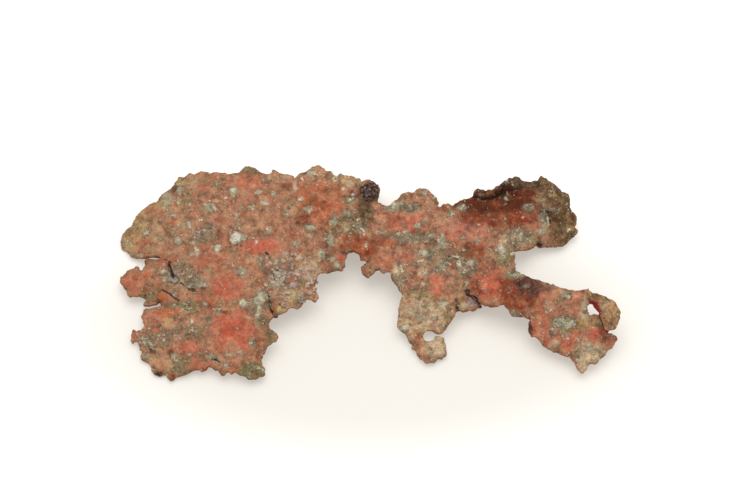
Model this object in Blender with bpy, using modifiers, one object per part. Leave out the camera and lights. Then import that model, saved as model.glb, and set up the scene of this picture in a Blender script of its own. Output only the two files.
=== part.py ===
"""Native copper nugget: one torn, lobed sheet of copper, crusted and buckled, resting on its lowest lobes.

The sheet is laid out on a slanting drawing, as a natural-history draughtsman would draw it from one eye point.
Places are written in squares of that drawing: U runs to the right and V runs down. in_space() turns a place
on the drawing and a height above the ground into a point in space, so the outline keeps its look whatever
heights the sheet is given.
"""

import math

import bmesh
import bpy
import numpy as np
from mathutils import Vector, geometry, noise

MM = 0.001

# The drawing and the eye point it is drawn from.
SQUARE = 0.26 * MM  # one drawing square at the ground under the drawing's middle
EYE_DISTANCE = 542 * MM
EYE_ELEVATION = math.radians(55)
MIDDLE_U, MIDDLE_V = 375, 250

# The sheet.
SHEET_THICKNESS = 1.7 * MM
RIM_THICKNESS = 0.85 * MM
RIM_UNEVENNESS = 0.3  # share by which the rim's thickness comes and goes
RIM_WIDTH = 6  # squares over which the sheet thins to its rim
LONGEST_EDGE = 6.5  # squares between rim points
LATTICE_U = 6.9  # squares between the points of one row inside the sheet
LATTICE_V = 4.75  # squares between rows
LATTICE_SHAKE = 0.18  # share of the spacing by which a point is moved off its row
RIM_CLEARANCE = 3.1  # squares that a lattice point keeps from the rim
GROUND_GAP = 0.2 * MM  # the underside keeps this off the ground, except at the feet
FOOT_RADIUS = 2.9 * MM
LEAST_THICKNESS = 0.5 * MM
INSIDE_TRIANGLES = 1  # delaunay_2d_cdt gives the triangles inside the loops

# The rim, clockwise from the tip of the upper left lobe, in (U, V) squares.
FAN_TOP = [
    (119.5, 243), (120.5, 239), (122.5, 234), (124.5, 230.5), (127, 228), (131, 226.3), (132, 224.5),
    (134, 221.5), (135.2, 217.5), (138, 214), (140.5, 211), (144, 208.8), (147, 206.5), (150, 204.3),
    (155.5, 203.2), (157, 200.5), (159.5, 197.8), (161.5, 196), (162.5, 194), (165, 192.2), (168.5, 191.5),
    (173, 188), (174.2, 185), (176, 181.5), (177.5, 179), (180, 177.8), (183.5, 178.5), (186, 176.5),
    (189.5, 174.6), (194, 174.8), (198, 173.2), (201, 172.2), (204, 172), (208, 172.6), (210.3, 174),
    (213, 172.8), (217, 172.6), (221, 173), (225, 173.2), (227, 174.8), (230, 175), (233, 173.6),
    (237, 173.4), (239.3, 172.5), (241, 170.5), (243.5, 168.6), (246.5, 167.7), (250, 167.3), (254.5, 168),
    (257, 169.5), (259, 171.2), (260, 172.8), (263.5, 174), (268, 174.2), (272, 173.5), (273.3, 171),
    (275, 170.8), (277.5, 171.6), (280, 172.8), (284, 173.7), (288, 174.8), (290.5, 175.6), (292.5, 177.3),
]
SHOULDER_TOP = [
    (294.8, 179.2), (295.6, 177), (297.4, 175.2), (300, 173.2), (304, 172.8), (307, 171.2), (310, 169.5),
    (312.5, 167.8), (315, 166.2), (318, 166), (320.5, 167), (323, 168.3), (325.2, 169.5), (326, 171),
    (330, 171.5), (333, 172.8), (334.5, 175.5), (337, 176.8), (339, 174.8), (341.5, 174.4), (343.5, 176),
    (346, 175.2), (349, 176.2), (352, 176.2), (355, 177.6), (356.5, 179.6), (360.5, 179.8), (360.8, 182.6),
]
CRYSTAL_KNOB = [
    (363, 182), (366.5, 180.2), (370, 181.2), (373, 182.8), (374.5, 185.8), (377.5, 187.6), (379.6, 190.5),
    (378.8, 194), (378.6, 198), (377.2, 201.2),
]
NECK_TOP = [
    (379, 203.5), (382, 205), (386, 206), (389.5, 205.8), (391.5, 203.5), (394, 200.5), (397, 199.5),
    (399.5, 196.5), (402, 194.3), (405.5, 193.2), (408, 191.6), (411, 192.8), (414, 192.6), (417, 190),
    (419.5, 189.4), (423, 189.6), (426, 188.6), (429, 190), (430.3, 192.5), (433, 194.5), (435, 197),
    (437, 198.2), (437.8, 201), (437, 204.5), (438.5, 207.3), (440.5, 207.5), (443, 205), (446, 204.2),
    (449.5, 204.6), (453, 206), (455.5, 204), (459, 201.8), (462, 201.4), (464, 199.3), (468, 199.2),
]
UPPER_WING = [
    (471, 197.6), (473, 195.2), (473.8, 191), (476, 189.8), (478.3, 188.2), (481, 189.6), (483, 188.8),
    (485.5, 190.6), (488.5, 189.2), (491.5, 189.6), (494.5, 187.8), (498, 185.6), (501, 183.8), (504, 181.6),
    (507, 180.2), (509, 178.5), (511.5, 178.6), (514, 177.4), (517.5, 178), (520, 179.8), (523, 180.8),
    (527, 181.2), (530.5, 182), (534, 181.2), (538, 181), (539, 178.5), (541, 175.8), (543.5, 177.8),
    (546.5, 178.4), (548.3, 180.2), (550.3, 181.6), (552, 184), (556, 184.8), (557.5, 187.4), (561, 189.6),
    (562.6, 192.6), (566, 193.2), (569, 195.5), (570.5, 199), (570.6, 204), (570.5, 208), (571.5, 211.2),
    (575, 213.6), (576.6, 217), (577, 221), (576.4, 225), (574.8, 227.6), (576.5, 230.5), (577, 233.5),
    (574, 236), (571.5, 239), (569, 241.5), (567, 244.5), (563, 246), (558, 247), (553, 246.6), (548, 247),
    (543.5, 246.6), (541, 247.6), (538, 246.6), (536, 245.4), (534, 247.4), (532, 249), (529, 249.8),
    (524, 250.6), (519, 250.8), (514.5, 251.2),
]
PALE_TAB = [
    (513.8, 253), (515, 256), (515, 259.5), (514.2, 262.5), (515.5, 265.5), (516, 268), (516.6, 271.2),
]
LIMB_TOP = [
    (521.5, 273.8), (526, 276), (530, 278), (534, 279.8), (539, 280.8), (543.5, 282.4), (547, 284),
    (550, 285.8), (553, 284.8), (556, 286.2), (559.5, 288), (564, 288.8), (569, 289.8), (574, 290.8),
    (579, 291), (583, 290.4), (586, 290.2), (588.5, 289), (589.5, 291.3), (593, 293), (597, 293.4),
    (601, 294.8), (605, 296.8), (609, 298.6),
]
CURLED_FINGER = [
    (613, 300), (616, 302.8), (618.2, 306.5), (620, 310), (620.4, 314), (619.6, 318.5), (618, 321.5),
    (618.6, 324.5), (617.4, 327), (615, 328.8), (612.6, 328.8), (610, 330), (607.2, 330.4), (605, 328),
    (604, 325), (603.6, 321), (602.4, 317.2), (600.6, 314.4), (598, 312), (596, 309.5), (594, 306.5),
    (591.5, 304.2), (589.5, 303.4),
]
SLIT_WALL = [
    (587.4, 305), (588, 308), (588.6, 310.6), (588, 312.4), (590, 313), (588.2, 314.6), (591, 315.2),
    (594, 314.2), (596.6, 315), (599, 316.6), (600.8, 319.4), (601.8, 323), (602.8, 326), (604, 329.4),
    (606, 332),
]
LIMB_END = [
    (609, 332.4), (612, 334), (615, 335.6), (617, 337.4), (616.6, 340), (615.2, 342.5), (614.8, 345.5),
    (612.5, 349), (609.5, 349.6), (607.8, 352), (606.4, 354.6), (604.6, 356.6), (601.5, 357.4), (599.5, 359.8),
    (597, 361.4), (595.4, 363.6), (592.4, 364), (589.6, 364.6), (588, 367), (586, 370), (583.6, 372.6),
    (581.6, 374), (579, 372.6), (576.8, 370.2), (575.4, 367), (574.6, 364), (572.6, 361), (570.6, 358.4),
    (568.6, 355.6), (565, 356.4), (561.6, 355), (558, 352.8), (554, 351.6), (549.6, 349.8), (546, 348.4),
    (543.4, 346), (540.6, 343.4), (539.2, 340.4), (537, 338.6), (534, 337.2), (531.4, 337.4), (530.6, 334.6),
    (529.6, 331.6), (530, 328.6), (528, 325), (529.4, 321.6), (531, 319),
]
LIMB_UNDER = [
    (529, 318.4), (526, 317.6), (522, 316.8), (517.6, 317.8), (513.4, 316.8), (510, 315), (509.4, 312.2),
    (507.6, 309.4), (505.6, 307), (504, 304.6), (501, 304.8), (497, 306), (492, 306.4), (487, 306.2),
    (483.6, 306),
]
FLAP_SLIT = [
    (482, 303.6), (480, 300.6), (477.4, 297.6), (474, 295), (471.6, 293.6), (470.8, 290.8), (468, 289.8),
    (465.6, 291.6), (464.8, 293.8), (467, 295.6), (471, 296), (474.4, 298), (477, 300.4), (479, 303.4),
]
FOLDED_FLAP = [
    (480.6, 306.6), (478, 308), (476, 310.4), (473.6, 312), (470.6, 310.6), (466, 311.2), (462.6, 312.2),
    (459.5, 311),
]
LEG = [
    (456.6, 312), (455.4, 314), (453, 318.4), (451, 321), (449, 325), (447, 328.6), (445, 331.4),
    (442, 332.8), (438.6, 333), (435.6, 333), (433, 331.4), (430, 331), (427.6, 331.6), (424.6, 332),
    (423.4, 334.6), (422.4, 338),
]
LEG_HOOK = [
    (424, 340.2), (427, 341), (430.6, 340.8), (433.4, 340), (436, 337.4), (438.6, 336.2), (441, 337.6),
    (444, 337.8), (444.6, 341), (445.6, 345), (447, 349), (447.8, 353), (446, 356), (443.4, 358),
    (442.4, 359.4), (439.6, 359.2), (436, 360.8), (432.6, 362.6), (428.6, 363.8), (426, 362.4), (423.6, 360.4),
    (420, 358.8), (418, 356.4), (416.4, 353.4), (414.8, 350.6), (412.6, 349.2), (410.8, 348.4), (411.6, 346),
    (412.4, 344), (409.4, 342.6), (408, 340), (406.8, 336.6), (405.4, 334.8), (402.6, 333.6), (400, 330.8),
]
LEG_BACK = [
    (398, 328), (397, 324.6), (397.2, 320), (397.8, 316), (399.2, 311), (399.4, 306), (399.6, 301.6),
    (401.4, 299), (402.4, 295.6), (401.6, 293), (399.2, 291), (397.6, 288.8), (396.8, 285.6), (394.6, 283.6),
    (392.6, 281), (391.6, 277.6), (390.6, 274.4), (389.4, 272.4), (386, 272.6), (383.6, 273.6), (381.4, 271.6),
    (379, 270.6), (376, 271),
]
SMALL_TAB = [
    (373.4, 274), (370.4, 276), (368.6, 278.6), (366.4, 278.2), (363.6, 275.8), (361.2, 273.4), (361.6, 270.6),
    (363.4, 267.2), (364.8, 264.8), (367, 263.2), (365.8, 261.6), (363, 260.8), (360.6, 261),
]
NECK_ARCH = [
    (360.2, 258), (359.4, 255.4), (356.6, 253.6), (355, 251.8), (352, 252.2), (349.6, 252.8), (347.6, 254),
    (346.4, 256.6), (345.4, 259), (345.3, 262), (345.2, 265), (344.4, 267.8), (342.8, 268), (342.6, 270),
]
FAN_UNDER = [
    (341.4, 271.4), (339, 270.6), (335, 271), (330, 272.4), (327.6, 273.4), (324, 272.8), (321, 273.6),
    (318.4, 275.2), (317, 277.6), (316.6, 280), (315.6, 283), (314.6, 286), (315, 289), (316.4, 291.6),
    (317.8, 294), (319.2, 297), (317.6, 300), (315.8, 303), (314, 302), (311.4, 300.2), (308, 299.8),
    (305, 301), (303.4, 303.6), (301, 305.6), (298.6, 308.6), (297, 309.8), (294.6, 309), (291, 308.6),
    (288, 309.4), (286.4, 311.6), (284, 313.4), (281, 315.2), (278, 315.6), (276, 316.4),
]
LONG_CRACK = [
    (273.6, 312.8), (271.4, 308), (270.7, 303.4), (270.2, 298.6), (268.6, 294), (266, 292), (265.4, 293.4),
    (267.4, 295.6), (268.8, 299.6), (269.2, 303.8), (269.9, 308.6), (272, 313.6),
]
LOWER_LOBE_RIGHT = [
    (273.6, 317), (272, 318.6), (269.6, 320.6), (269, 323.4), (268.8, 327), (269.6, 330), (272, 331),
    (274.6, 333), (276.6, 334), (278, 337), (277, 340.6), (276, 342.6), (273, 343), (270.6, 344.6),
    (268.4, 347), (266, 350), (264, 354), (262.6, 357.4), (261, 360), (261.2, 362.4), (263, 365),
    (264.8, 368.4), (264.6, 372), (264.2, 375), (262.8, 377), (260, 377.4), (257.6, 379), (254.6, 380),
    (250.6, 380.2), (247.6, 380),
]
LOWER_LOBE_FOOT = [
    (246, 377.6), (243, 376.6), (240.6, 376.4), (237.8, 374.4), (235.6, 372.4), (233.6, 373.4), (231, 374),
    (228.6, 372.6), (226.6, 373), (224.6, 374.4), (221.4, 375), (219, 373.4), (217.4, 371), (214.6, 370.4),
    (212.4, 368.4), (211, 367.4), (208.6, 367.6), (206.6, 370.2), (204, 371.6), (201, 372), (199.6, 370.6),
    (196, 370.8), (192.6, 371.4), (189, 372.8), (187.6, 374.6), (184, 375.2), (180.6, 376.4), (176.6, 376.6),
    (174, 378.6), (171.6, 380.4), (169.6, 380.8), (168, 379), (166.8, 376.4), (164.6, 375.6), (161.6, 376.4),
    (158.6, 377.4), (156, 376.2), (154.6, 373.6),
]
LOWER_LOBE_LEFT = [
    (152.4, 370.6), (151.4, 367.6), (149.6, 365), (147, 363.4), (143.6, 361.8), (140.6, 360.4), (139.6, 357.6),
    (141, 354.6), (141.4, 351), (139, 349), (139.2, 346), (137.8, 343.6), (136.4, 341.6), (134.4, 341.4),
    (132.6, 342.6), (130.8, 341.6), (131, 338.6), (131.8, 335), (132, 331.6), (133.4, 330), (135.2, 330.8),
    (136.6, 332.6), (138.4, 330.6), (141.6, 330), (143.4, 328.4), (144.2, 325.6), (143, 322.6), (142.2, 319.6),
    (141.2, 316.4), (142.2, 313.4), (143.6, 311), (145.6, 309.6), (148.6, 310), (151, 308.8), (153.4, 308),
    (156.4, 308), (159.5, 307),
]
THUMB_LOBE = [
    (160.8, 304.8), (159, 303.6), (157, 305.2), (153, 306), (149.6, 307), (146, 306.4), (143.4, 306),
    (143, 304), (144.6, 302), (146, 300.2), (144.4, 298.6), (142, 297.2), (139, 296.4), (135, 297),
    (131.6, 297.4), (129, 297.8), (127.8, 295.6), (127, 292.6), (124.6, 290), (122.4, 287.4), (120.6, 284.6),
    (119.6, 281.4), (121, 278.4), (123, 275.6), (126, 273), (129, 270.4), (132.6, 269.4), (134.6, 268),
    (137, 267.6), (139.4, 268.4), (140, 270.6), (142.4, 270.6), (142.6, 268.4), (143.8, 266.6), (144.8, 264.4),
    (144.2, 262), (146, 260.8), (149, 260), (153, 259.6), (158, 259.6),
]
FAN_LOBE_UNDER = [
    (160.4, 258.8), (157, 257.8), (152, 257.2), (149, 257.4), (145, 258.4), (141, 258.8), (137, 258.8),
    (133, 257.8), (130.6, 256.6), (128.6, 253.8), (126, 250.8), (123.4, 248.8), (121.2, 246.4),
]
RIM = [
    point
    for stretch in (
        FAN_TOP, SHOULDER_TOP, CRYSTAL_KNOB, NECK_TOP, UPPER_WING, PALE_TAB, LIMB_TOP, CURLED_FINGER, SLIT_WALL,
        LIMB_END, LIMB_UNDER, FLAP_SLIT, FOLDED_FLAP, LEG, LEG_HOOK, LEG_BACK, SMALL_TAB, NECK_ARCH, FAN_UNDER,
        LONG_CRACK, LOWER_LOBE_RIGHT, LOWER_LOBE_FOOT, LOWER_LOBE_LEFT, THUMB_LOBE, FAN_LOBE_UNDER,
    )
    for point in stretch
]

# Places torn right through, inside the rim.
TEAR_BELOW_FAN = [
    (168.2, 263), (169.8, 265), (170.6, 269), (172.4, 273), (175, 275.4), (178, 277.6), (179.6, 281),
    (178.4, 284), (175, 285), (171, 283.6), (168, 280.6), (166.8, 276), (167, 270),
]
PINHOLE = [(189.4, 289.4), (192, 289.2), (195, 290.6), (196.6, 292.4), (194, 293), (190.8, 291.6)]

# How high the middle of the sheet stands above the ground: (U, V, millimetres).
FAN_HEIGHTS = [
    (119.5, 243, 0.9), (132, 246, 0.8), (150, 226, 1.9), (165, 197, 2.2), (205, 176, 2.4), (250, 171, 2.8),
    (290, 180, 3.2), (318, 169, 3.6), (352, 181, 4.6), (180, 225, 3.6), (228, 212, 5.0), (276, 214, 5.3),
    (322, 212, 5.6), (160, 252, 1.9), (200, 252, 4.0), (244, 250, 5.6), (292, 250, 6.3), (262, 282, 5.7),
    (300, 286, 6.0), (316, 298, 5.5), (284, 309, 5.2), (334, 266, 6.5), (338, 234, 6.3),
]
LOWER_LOBE_HEIGHTS = [
    (121, 281, 1.5), (146, 282, 1.9), (148, 302, 1.7), (176, 264, 2.6), (186, 296, 3.3), (150, 316, 1.9),
    (133, 338, 1.6), (158, 338, 2.2), (160, 362, 0.9), (171, 378, 1.0), (196, 334, 3.9), (236, 318, 5.6),
    (240, 346, 4.9), (206, 364, 2.4), (250, 374, 2.3), (262, 362, 2.8), (276, 338, 3.9), (266, 322, 4.9),
]
NECK_HEIGHTS = [
    (352, 247, 7.2), (370, 198, 5.6), (378, 218, 6.0), (372, 240, 6.7), (366, 255, 6.8), (367, 274, 5.7),
    (402, 200, 4.8), (425, 192, 4.4), (440, 214, 5.3), (402, 226, 6.2), (430, 246, 5.9), (404, 268, 6.5),
    (434, 276, 6.4), (396, 290, 5.7),
]
LEG_HEIGHTS = [
    (402, 312, 3.9), (428, 308, 4.3), (452, 312, 4.4), (400, 326, 2.9), (426, 328, 2.7), (444, 328, 3.2),
    (415, 343, 1.5), (430, 351, 0.9), (444, 342, 1.6), (429, 362, 1.2), (459, 300, 5.0), (478, 308, 4.4),
]
WING_HEIGHTS = [
    (466, 202, 5.0), (478, 191, 6.8), (500, 185, 7.2), (516, 180, 7.2), (542, 179, 6.6), (478, 212, 4.4),
    (504, 206, 3.7), (526, 204, 4.4), (466, 236, 6.4), (496, 228, 5.6), (520, 238, 5.2), (504, 254, 6.2),
    (515, 266, 6.4), (552, 200, 5.2), (568, 204, 4.6), (575, 222, 2.9), (558, 232, 1.2), (566, 241, 1.3),
    (542, 243, 2.8),
]
LIMB_HEIGHTS = [
    (452, 256, 6.0), (480, 268, 6.3), (474, 284, 6.9), (500, 284, 7.2), (498, 303, 6.5), (534, 282, 7.4),
    (518, 314, 5.8), (524, 298, 6.8), (556, 289, 7.2), (586, 293, 7.2), (560, 306, 7.2), (536, 326, 5.2),
    (533, 336, 4.4), (556, 332, 5.6), (582, 316, 5.8), (548, 347, 3.6), (584, 344, 4.6), (606, 340, 4.0),
    (614, 340, 3.5), (596, 358, 3.6), (580, 370, 2.2), (604, 300, 7.4), (618, 312, 7.0), (611, 327, 6.4),
    (597, 322, 5.2),
]
HEIGHTS = FAN_HEIGHTS + LOWER_LOBE_HEIGHTS + NECK_HEIGHTS + LEG_HEIGHTS + WING_HEIGHTS + LIMB_HEIGHTS
HEIGHT_SOFTNESS = 9  # squares over which a height point is rounded off

# Tabs bent about their roots: (name, corners of the tab, root line, rise at the far end in millimetres).
BENT_TABS = [
    ("curled finger", [(588, 289), (624, 296), (624, 334), (606, 331.6), (602.6, 322), (600.4, 316.4),
                       (594, 311), (588, 304)], ((592, 290), (589, 303)), 2.2),
    ("folded flap", [(465.4, 293.8), (471, 295.4), (475.4, 297.4), (480.6, 302.4), (484, 312), (456, 315),
                     (457, 300)], ((457, 306), (465, 294)), -2.4),
    ("slit wall", [(584, 304), (592, 309), (600.6, 316), (603.4, 326), (607, 333), (598, 340), (584, 322)],
     ((584, 322), (598, 342)), -1.0),
    ("small tab", [(358, 262.2), (368, 262), (377, 266), (377, 282), (358, 282)], ((377, 262), (377, 274)), -1.3),
    ("thumb lobe", [(116, 262), (144, 258), (160, 259.4), (167, 262), (166, 292), (140, 299), (116, 300)],
     ((166, 262), (160, 300)), 1.0),
    ("long crack lip", [(270, 291), (292, 296), (292, 312), (277, 318), (271.6, 308), (269.8, 298)],
     ((292, 290), (294, 312)), 0.9),
]
BEND_REACH = 22  # squares over which a bend comes to its full rise

# Lumps and hollows that stand out from a step away: (U, V, radius in squares, height in millimetres).
LUMPS = [
    (237, 238, 6, 0.9), (168, 200, 7, 0.8), (181, 188, 5, 0.7), (209, 208, 5, 0.5), (208, 226, 5, 0.6),
    (178, 241, 5, 0.5), (229, 193, 6, 0.5), (242, 304, 5, 0.6), (250, 171, 7, 0.6), (318, 171, 7, 0.7),
    (163, 272, 5, 0.5), (164, 297, 7, 1.0), (157, 350, 5, 0.6), (172, 357, 7, 0.5), (252, 370, 9, 0.8),
    (274, 339, 5, 0.9), (160, 370, 6, 0.6), (366, 187, 6, 1.5), (373, 193, 6, 1.7), (366, 197, 5, 1.2),
    (375, 200, 4, 0.9), (352, 184, 6, 0.6), (347, 213, 6, 0.5), (310, 228, 6, 0.5), (262, 298, 8, 0.5),
    (392, 204, 6, 0.5), (424, 193, 6, 0.5), (415, 208, 6, 0.4), (441, 243, 5, 0.6), (443, 263, 6, 0.5),
    (463, 262, 8, 0.6), (418, 226, 4, 0.5), (430, 349, 4, 0.3), (479, 192, 6, 0.9), (514, 181, 7, 0.9),
    (541, 181, 6, 1.1), (556, 189, 8, 1.2), (565, 200, 8, 1.1), (561, 213, 8, 1.0), (571, 219, 7, 1.3),
    (568, 232, 8, 1.2), (555, 238, 8, 0.9), (549, 194, 8, 0.8), (545, 228, 6, 0.6), (530, 209, 6, 0.4),
    (505, 258, 8, 0.6), (512, 275, 6, 0.5), (565, 324, 8, 0.6), (590, 346, 9, 0.5), (547, 342, 5, 0.4),
    (612, 316, 7, 0.5), (536, 304, 6, 0.5), (580, 296, 5, 0.4),
]
HOLLOWS = [
    (500, 194, 9, -1.0), (486, 199, 8, -0.8), (514, 206, 12, -0.8), (480, 212, 9, -0.7), (539, 244, 4, -1.2),
    (350, 249, 7, -0.5), (312, 175, 4, -0.6), (158, 303, 4, -0.6), (216, 359, 4, -1.0), (200, 290, 5, -0.8),
    (183, 266, 4, -0.6), (200, 235, 9, -0.5), (268, 256, 4, -0.6), (182, 303, 7, -0.5), (151, 346, 6, -0.5),
    (173, 190, 4, -0.9), (366, 212, 5, -0.7), (458, 304, 4, -0.9), (410, 336, 4, -0.4), (565, 336, 5, -0.5),
]

# Creases and ridges: (points, half width in squares, height in millimetres).
CREASES = [
    ([(371, 228), (384, 230), (397, 237), (414, 241), (431, 246), (446, 254), (458, 259)], 4.5, -0.7),
    ([(482, 266), (500, 268.5), (514, 273)], 4.5, -0.8),
    ([(295, 182), (298, 196), (307, 206), (316, 217), (330, 226)], 4, 0.5),
    ([(330, 226), (340, 217), (356, 214)], 4, 0.5),
    ([(330, 236), (329, 250), (320, 262)], 4.5, 0.7),
    ([(250, 320), (257, 324), (263, 328), (268, 331)], 4, 0.8),
    ([(170, 287), (180, 292), (190, 303), (206, 308)], 5, -0.8),
    ([(340, 224), (354, 222), (366, 226)], 5, -0.6),
    ([(533, 288), (531, 304), (532, 318)], 4, -0.7),
    ([(548, 211), (550, 222), (554, 216)], 3, -0.8),
    ([(476, 199.5), (488, 198.5), (497, 194), (508, 190)], 4.5, -0.9),
    ([(560, 303), (566, 306), (572, 302)], 4, 0.3),
    ([(504, 282), (505, 296), (505, 304)], 4, -0.4),
]

# The sheet's own buckling and grain: (size of the waves in squares, height in millimetres).
BUCKLES = [(34, 0.55), (16, 0.55), (9, 0.42)]
UNDER_BUCKLES = [(28, 0.45), (13, 0.45)]

# Where the sheet is thicker than elsewhere: (U, V, radius in squares, extra millimetres).
THICK_PLACES = [
    (370, 191, 11, 1.3), (562, 206, 17, 1.2), (566, 230, 14, 1.1), (545, 190, 14, 0.7), (510, 184, 12, 0.8),
    (480, 192, 8, 0.7), (252, 370, 10, 0.6),
]

# Where the nugget touches the ground.
FEET = {
    "left": (133, 246),
    "lower_left": (162, 364),
    "hook": (431, 351),
    "wing": (561, 233),
}

COPPER_COLOUR = (0.44, 0.19, 0.115, 1)


def in_space(u, v, height):
    """The point at this height above the ground that the eye sees at (u, v) of the drawing."""
    sine, cosine = math.sin(EYE_ELEVATION), math.cos(EYE_ELEVATION)
    eye = np.array([0, -cosine, sine]) * EYE_DISTANCE
    across, up = (u - MIDDLE_U) * SQUARE, (MIDDLE_V - v) * SQUARE
    sight = np.stack([across, up * sine, up * cosine], axis=-1) - eye
    reach = (height - eye[2]) / sight[..., 2]
    return eye + sight * reach[..., None]


def rim_points():
    """The rim with its long stretches divided."""
    points = []
    for here, after in zip(RIM, RIM[1:] + RIM[:1]):
        parts = math.ceil(math.dist(here, after) / LONGEST_EDGE)
        points += [tuple(np.add(here, np.subtract(after, here) * i / parts)) for i in range(parts)]
    return np.array(points, float)


def inside(points, corners):
    """Whether each point lies inside the loop of corners."""
    found = np.zeros(len(points), bool)
    x, y = points[:, 0], points[:, 1]
    for (x0, y0), (x1, y1) in zip(corners, np.roll(corners, -1, axis=0)):
        if y0 != y1:
            crossing = x0 + (y - y0) / (y1 - y0) * (x1 - x0)
            found ^= ((y0 > y) != (y1 > y)) & (x < crossing)
    return found


def distance_to_line(points, line, closed=False):
    """Distance from each point to the nearest place on a line of straight runs."""
    starts = np.asarray(line, float)
    ends = np.roll(starts, -1, axis=0)
    if not closed:
        starts, ends = starts[:-1], ends[:-1]
    nearest = np.full(len(points), np.inf)
    for start, end in zip(starts, ends):
        run = end - start
        share = np.clip((points - start) @ run / (run @ run), 0, 1)
        nearest = np.minimum(nearest, np.linalg.norm(points - start - share[:, None] * run, axis=1))
    return nearest


def smooth(share):
    share = np.clip(share, 0, 1)
    return share * share * (3 - 2 * share)


def bump(points, u, v, radius):
    """1 at (u, v), falling smoothly to 0 at the radius."""
    return smooth(1 - np.hypot(points[:, 0] - u, (points[:, 1] - v) / math.sin(EYE_ELEVATION)) / radius)


def waves(points, size, seed):
    """Smooth noise from -1 to 1 with features of this size."""
    return np.array([noise.noise(Vector((u / size, v / size, seed))) for u, v in points])


def lattice_points(rim, holes):
    """Points inside the sheet, in staggered rows and slightly shaken."""
    shake = np.random.default_rng(7)
    rows = np.arange(rim[:, 1].min(), rim[:, 1].max(), LATTICE_V)
    columns = np.arange(rim[:, 0].min(), rim[:, 0].max(), LATTICE_U)
    grid = np.array([(u + LATTICE_U / 2 * (i % 2), v) for i, v in enumerate(rows) for u in columns])
    grid += shake.uniform(-LATTICE_SHAKE, LATTICE_SHAKE, grid.shape) * (LATTICE_U, LATTICE_V)
    keep = inside(grid, rim) & (distance_to_line(grid, rim, closed=True) > RIM_CLEARANCE)
    for hole in holes:
        keep &= ~inside(grid, hole) & (distance_to_line(grid, hole, closed=True) > RIM_CLEARANCE)
    return grid[keep]


def heights_at(points):
    """Height of the sheet's middle, drawn smoothly through HEIGHTS."""
    known = np.array(HEIGHTS)

    def pull(a, b):
        apart = a[:, None, :2] - b[None, :, :2]
        return np.sqrt((apart**2).sum(axis=2) + HEIGHT_SOFTNESS**2)

    plane = np.column_stack([np.ones(len(known)), known[:, :2]])
    system = np.block([[pull(known, known), plane], [plane.T, np.zeros((3, 3))]])
    weights = np.linalg.solve(system, np.concatenate([known[:, 2], np.zeros(3)]))
    here = np.column_stack([np.ones(len(points)), points])
    return pull(points, known) @ weights[:-3] + here @ weights[-3:]


def bends_at(points):
    """Rise of the tabs that are bent about their roots."""
    rise = np.zeros(len(points))
    for _, corners, root, height in BENT_TABS:
        away = distance_to_line(points, root)
        rise += inside(points, np.array(corners, float)) * smooth(away / BEND_REACH) * height
    return rise


def relief_at(points):
    """Lumps, hollows, creases and buckling, in millimetres."""
    relief = np.zeros(len(points))
    for u, v, radius, height in LUMPS + HOLLOWS:
        relief += bump(points, u, v, radius * 1.5) * height
    for line, half_width, height in CREASES:
        relief += smooth(1 - distance_to_line(points, line) / (2 * half_width)) * height
    for seed, (size, height) in enumerate(BUCKLES):
        relief += waves(points, size, seed) * height
    return relief


def thickness_at(points, to_rim):
    """Thickness of the sheet in metres, thinner at the rim and thicker at the crusted places."""
    extra = sum(bump(points, u, v, radius * 1.4) * height for u, v, radius, height in THICK_PLACES)
    body = SHEET_THICKNESS + extra * MM
    rim = RIM_THICKNESS * (1 + RIM_UNEVENNESS * waves(points, 9, 30))
    return rim + (body - rim) * smooth(to_rim / RIM_WIDTH)


def middle_sheet(rim, holes):
    """The open surface midway through the sheet, with each vertex's place on the drawing and its thickness."""
    lattice = lattice_points(rim, holes)
    loops, points = [], []
    for loop in [rim, *holes]:
        loops.append(list(range(len(points), len(points) + len(loop))))
        points += [Vector(p) for p in loop]
    points += [Vector(p) for p in lattice]
    flat, _, faces, *_ = geometry.delaunay_2d_cdt(points, [], loops, INSIDE_TRIANGLES, 1e-5)
    places = np.array([tuple(p) for p in flat])
    centres = places[np.array(faces)].mean(axis=1)
    torn = np.logical_or.reduce([inside(centres, hole) for hole in holes])
    faces = np.array(faces)[~torn]
    to_rim = np.minimum.reduce([distance_to_line(places, loop, closed=True) for loop in [rim, *holes]])
    heights = heights_at(places) + bends_at(places) + relief_at(places) * smooth(0.35 + to_rim / RIM_WIDTH)
    corners = in_space(places[:, 0], places[:, 1], heights * MM)
    mesh = bpy.data.meshes.new("middle_sheet")
    mesh.from_pydata(corners.tolist(), [], faces.tolist())
    if mesh.polygons and sum(p.normal.z for p in mesh.polygons) < 0:
        mesh.flip_normals()
    return mesh, places, thickness_at(places, to_rim)


def thickened(mesh, thickness):
    """The closed sheet: Solidify to each side of the middle, by each vertex's own thickness."""
    guide = bpy.data.objects.new("sheet_guide", mesh)
    bpy.context.scene.collection.objects.link(guide)
    group = guide.vertex_groups.new(name="thickness")
    for i, share in enumerate(thickness / thickness.max()):
        group.add([i], share, "REPLACE")
    solidify = guide.modifiers.new("thickness", "SOLIDIFY")
    solidify.thickness = thickness.max()
    solidify.offset = 0
    solidify.vertex_group = group.name
    bpy.context.view_layer.update()
    graph = bpy.context.evaluated_depsgraph_get()
    solid = bpy.data.meshes.new_from_object(guide.evaluated_get(graph))
    bpy.data.objects.remove(guide)
    return solid


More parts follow.
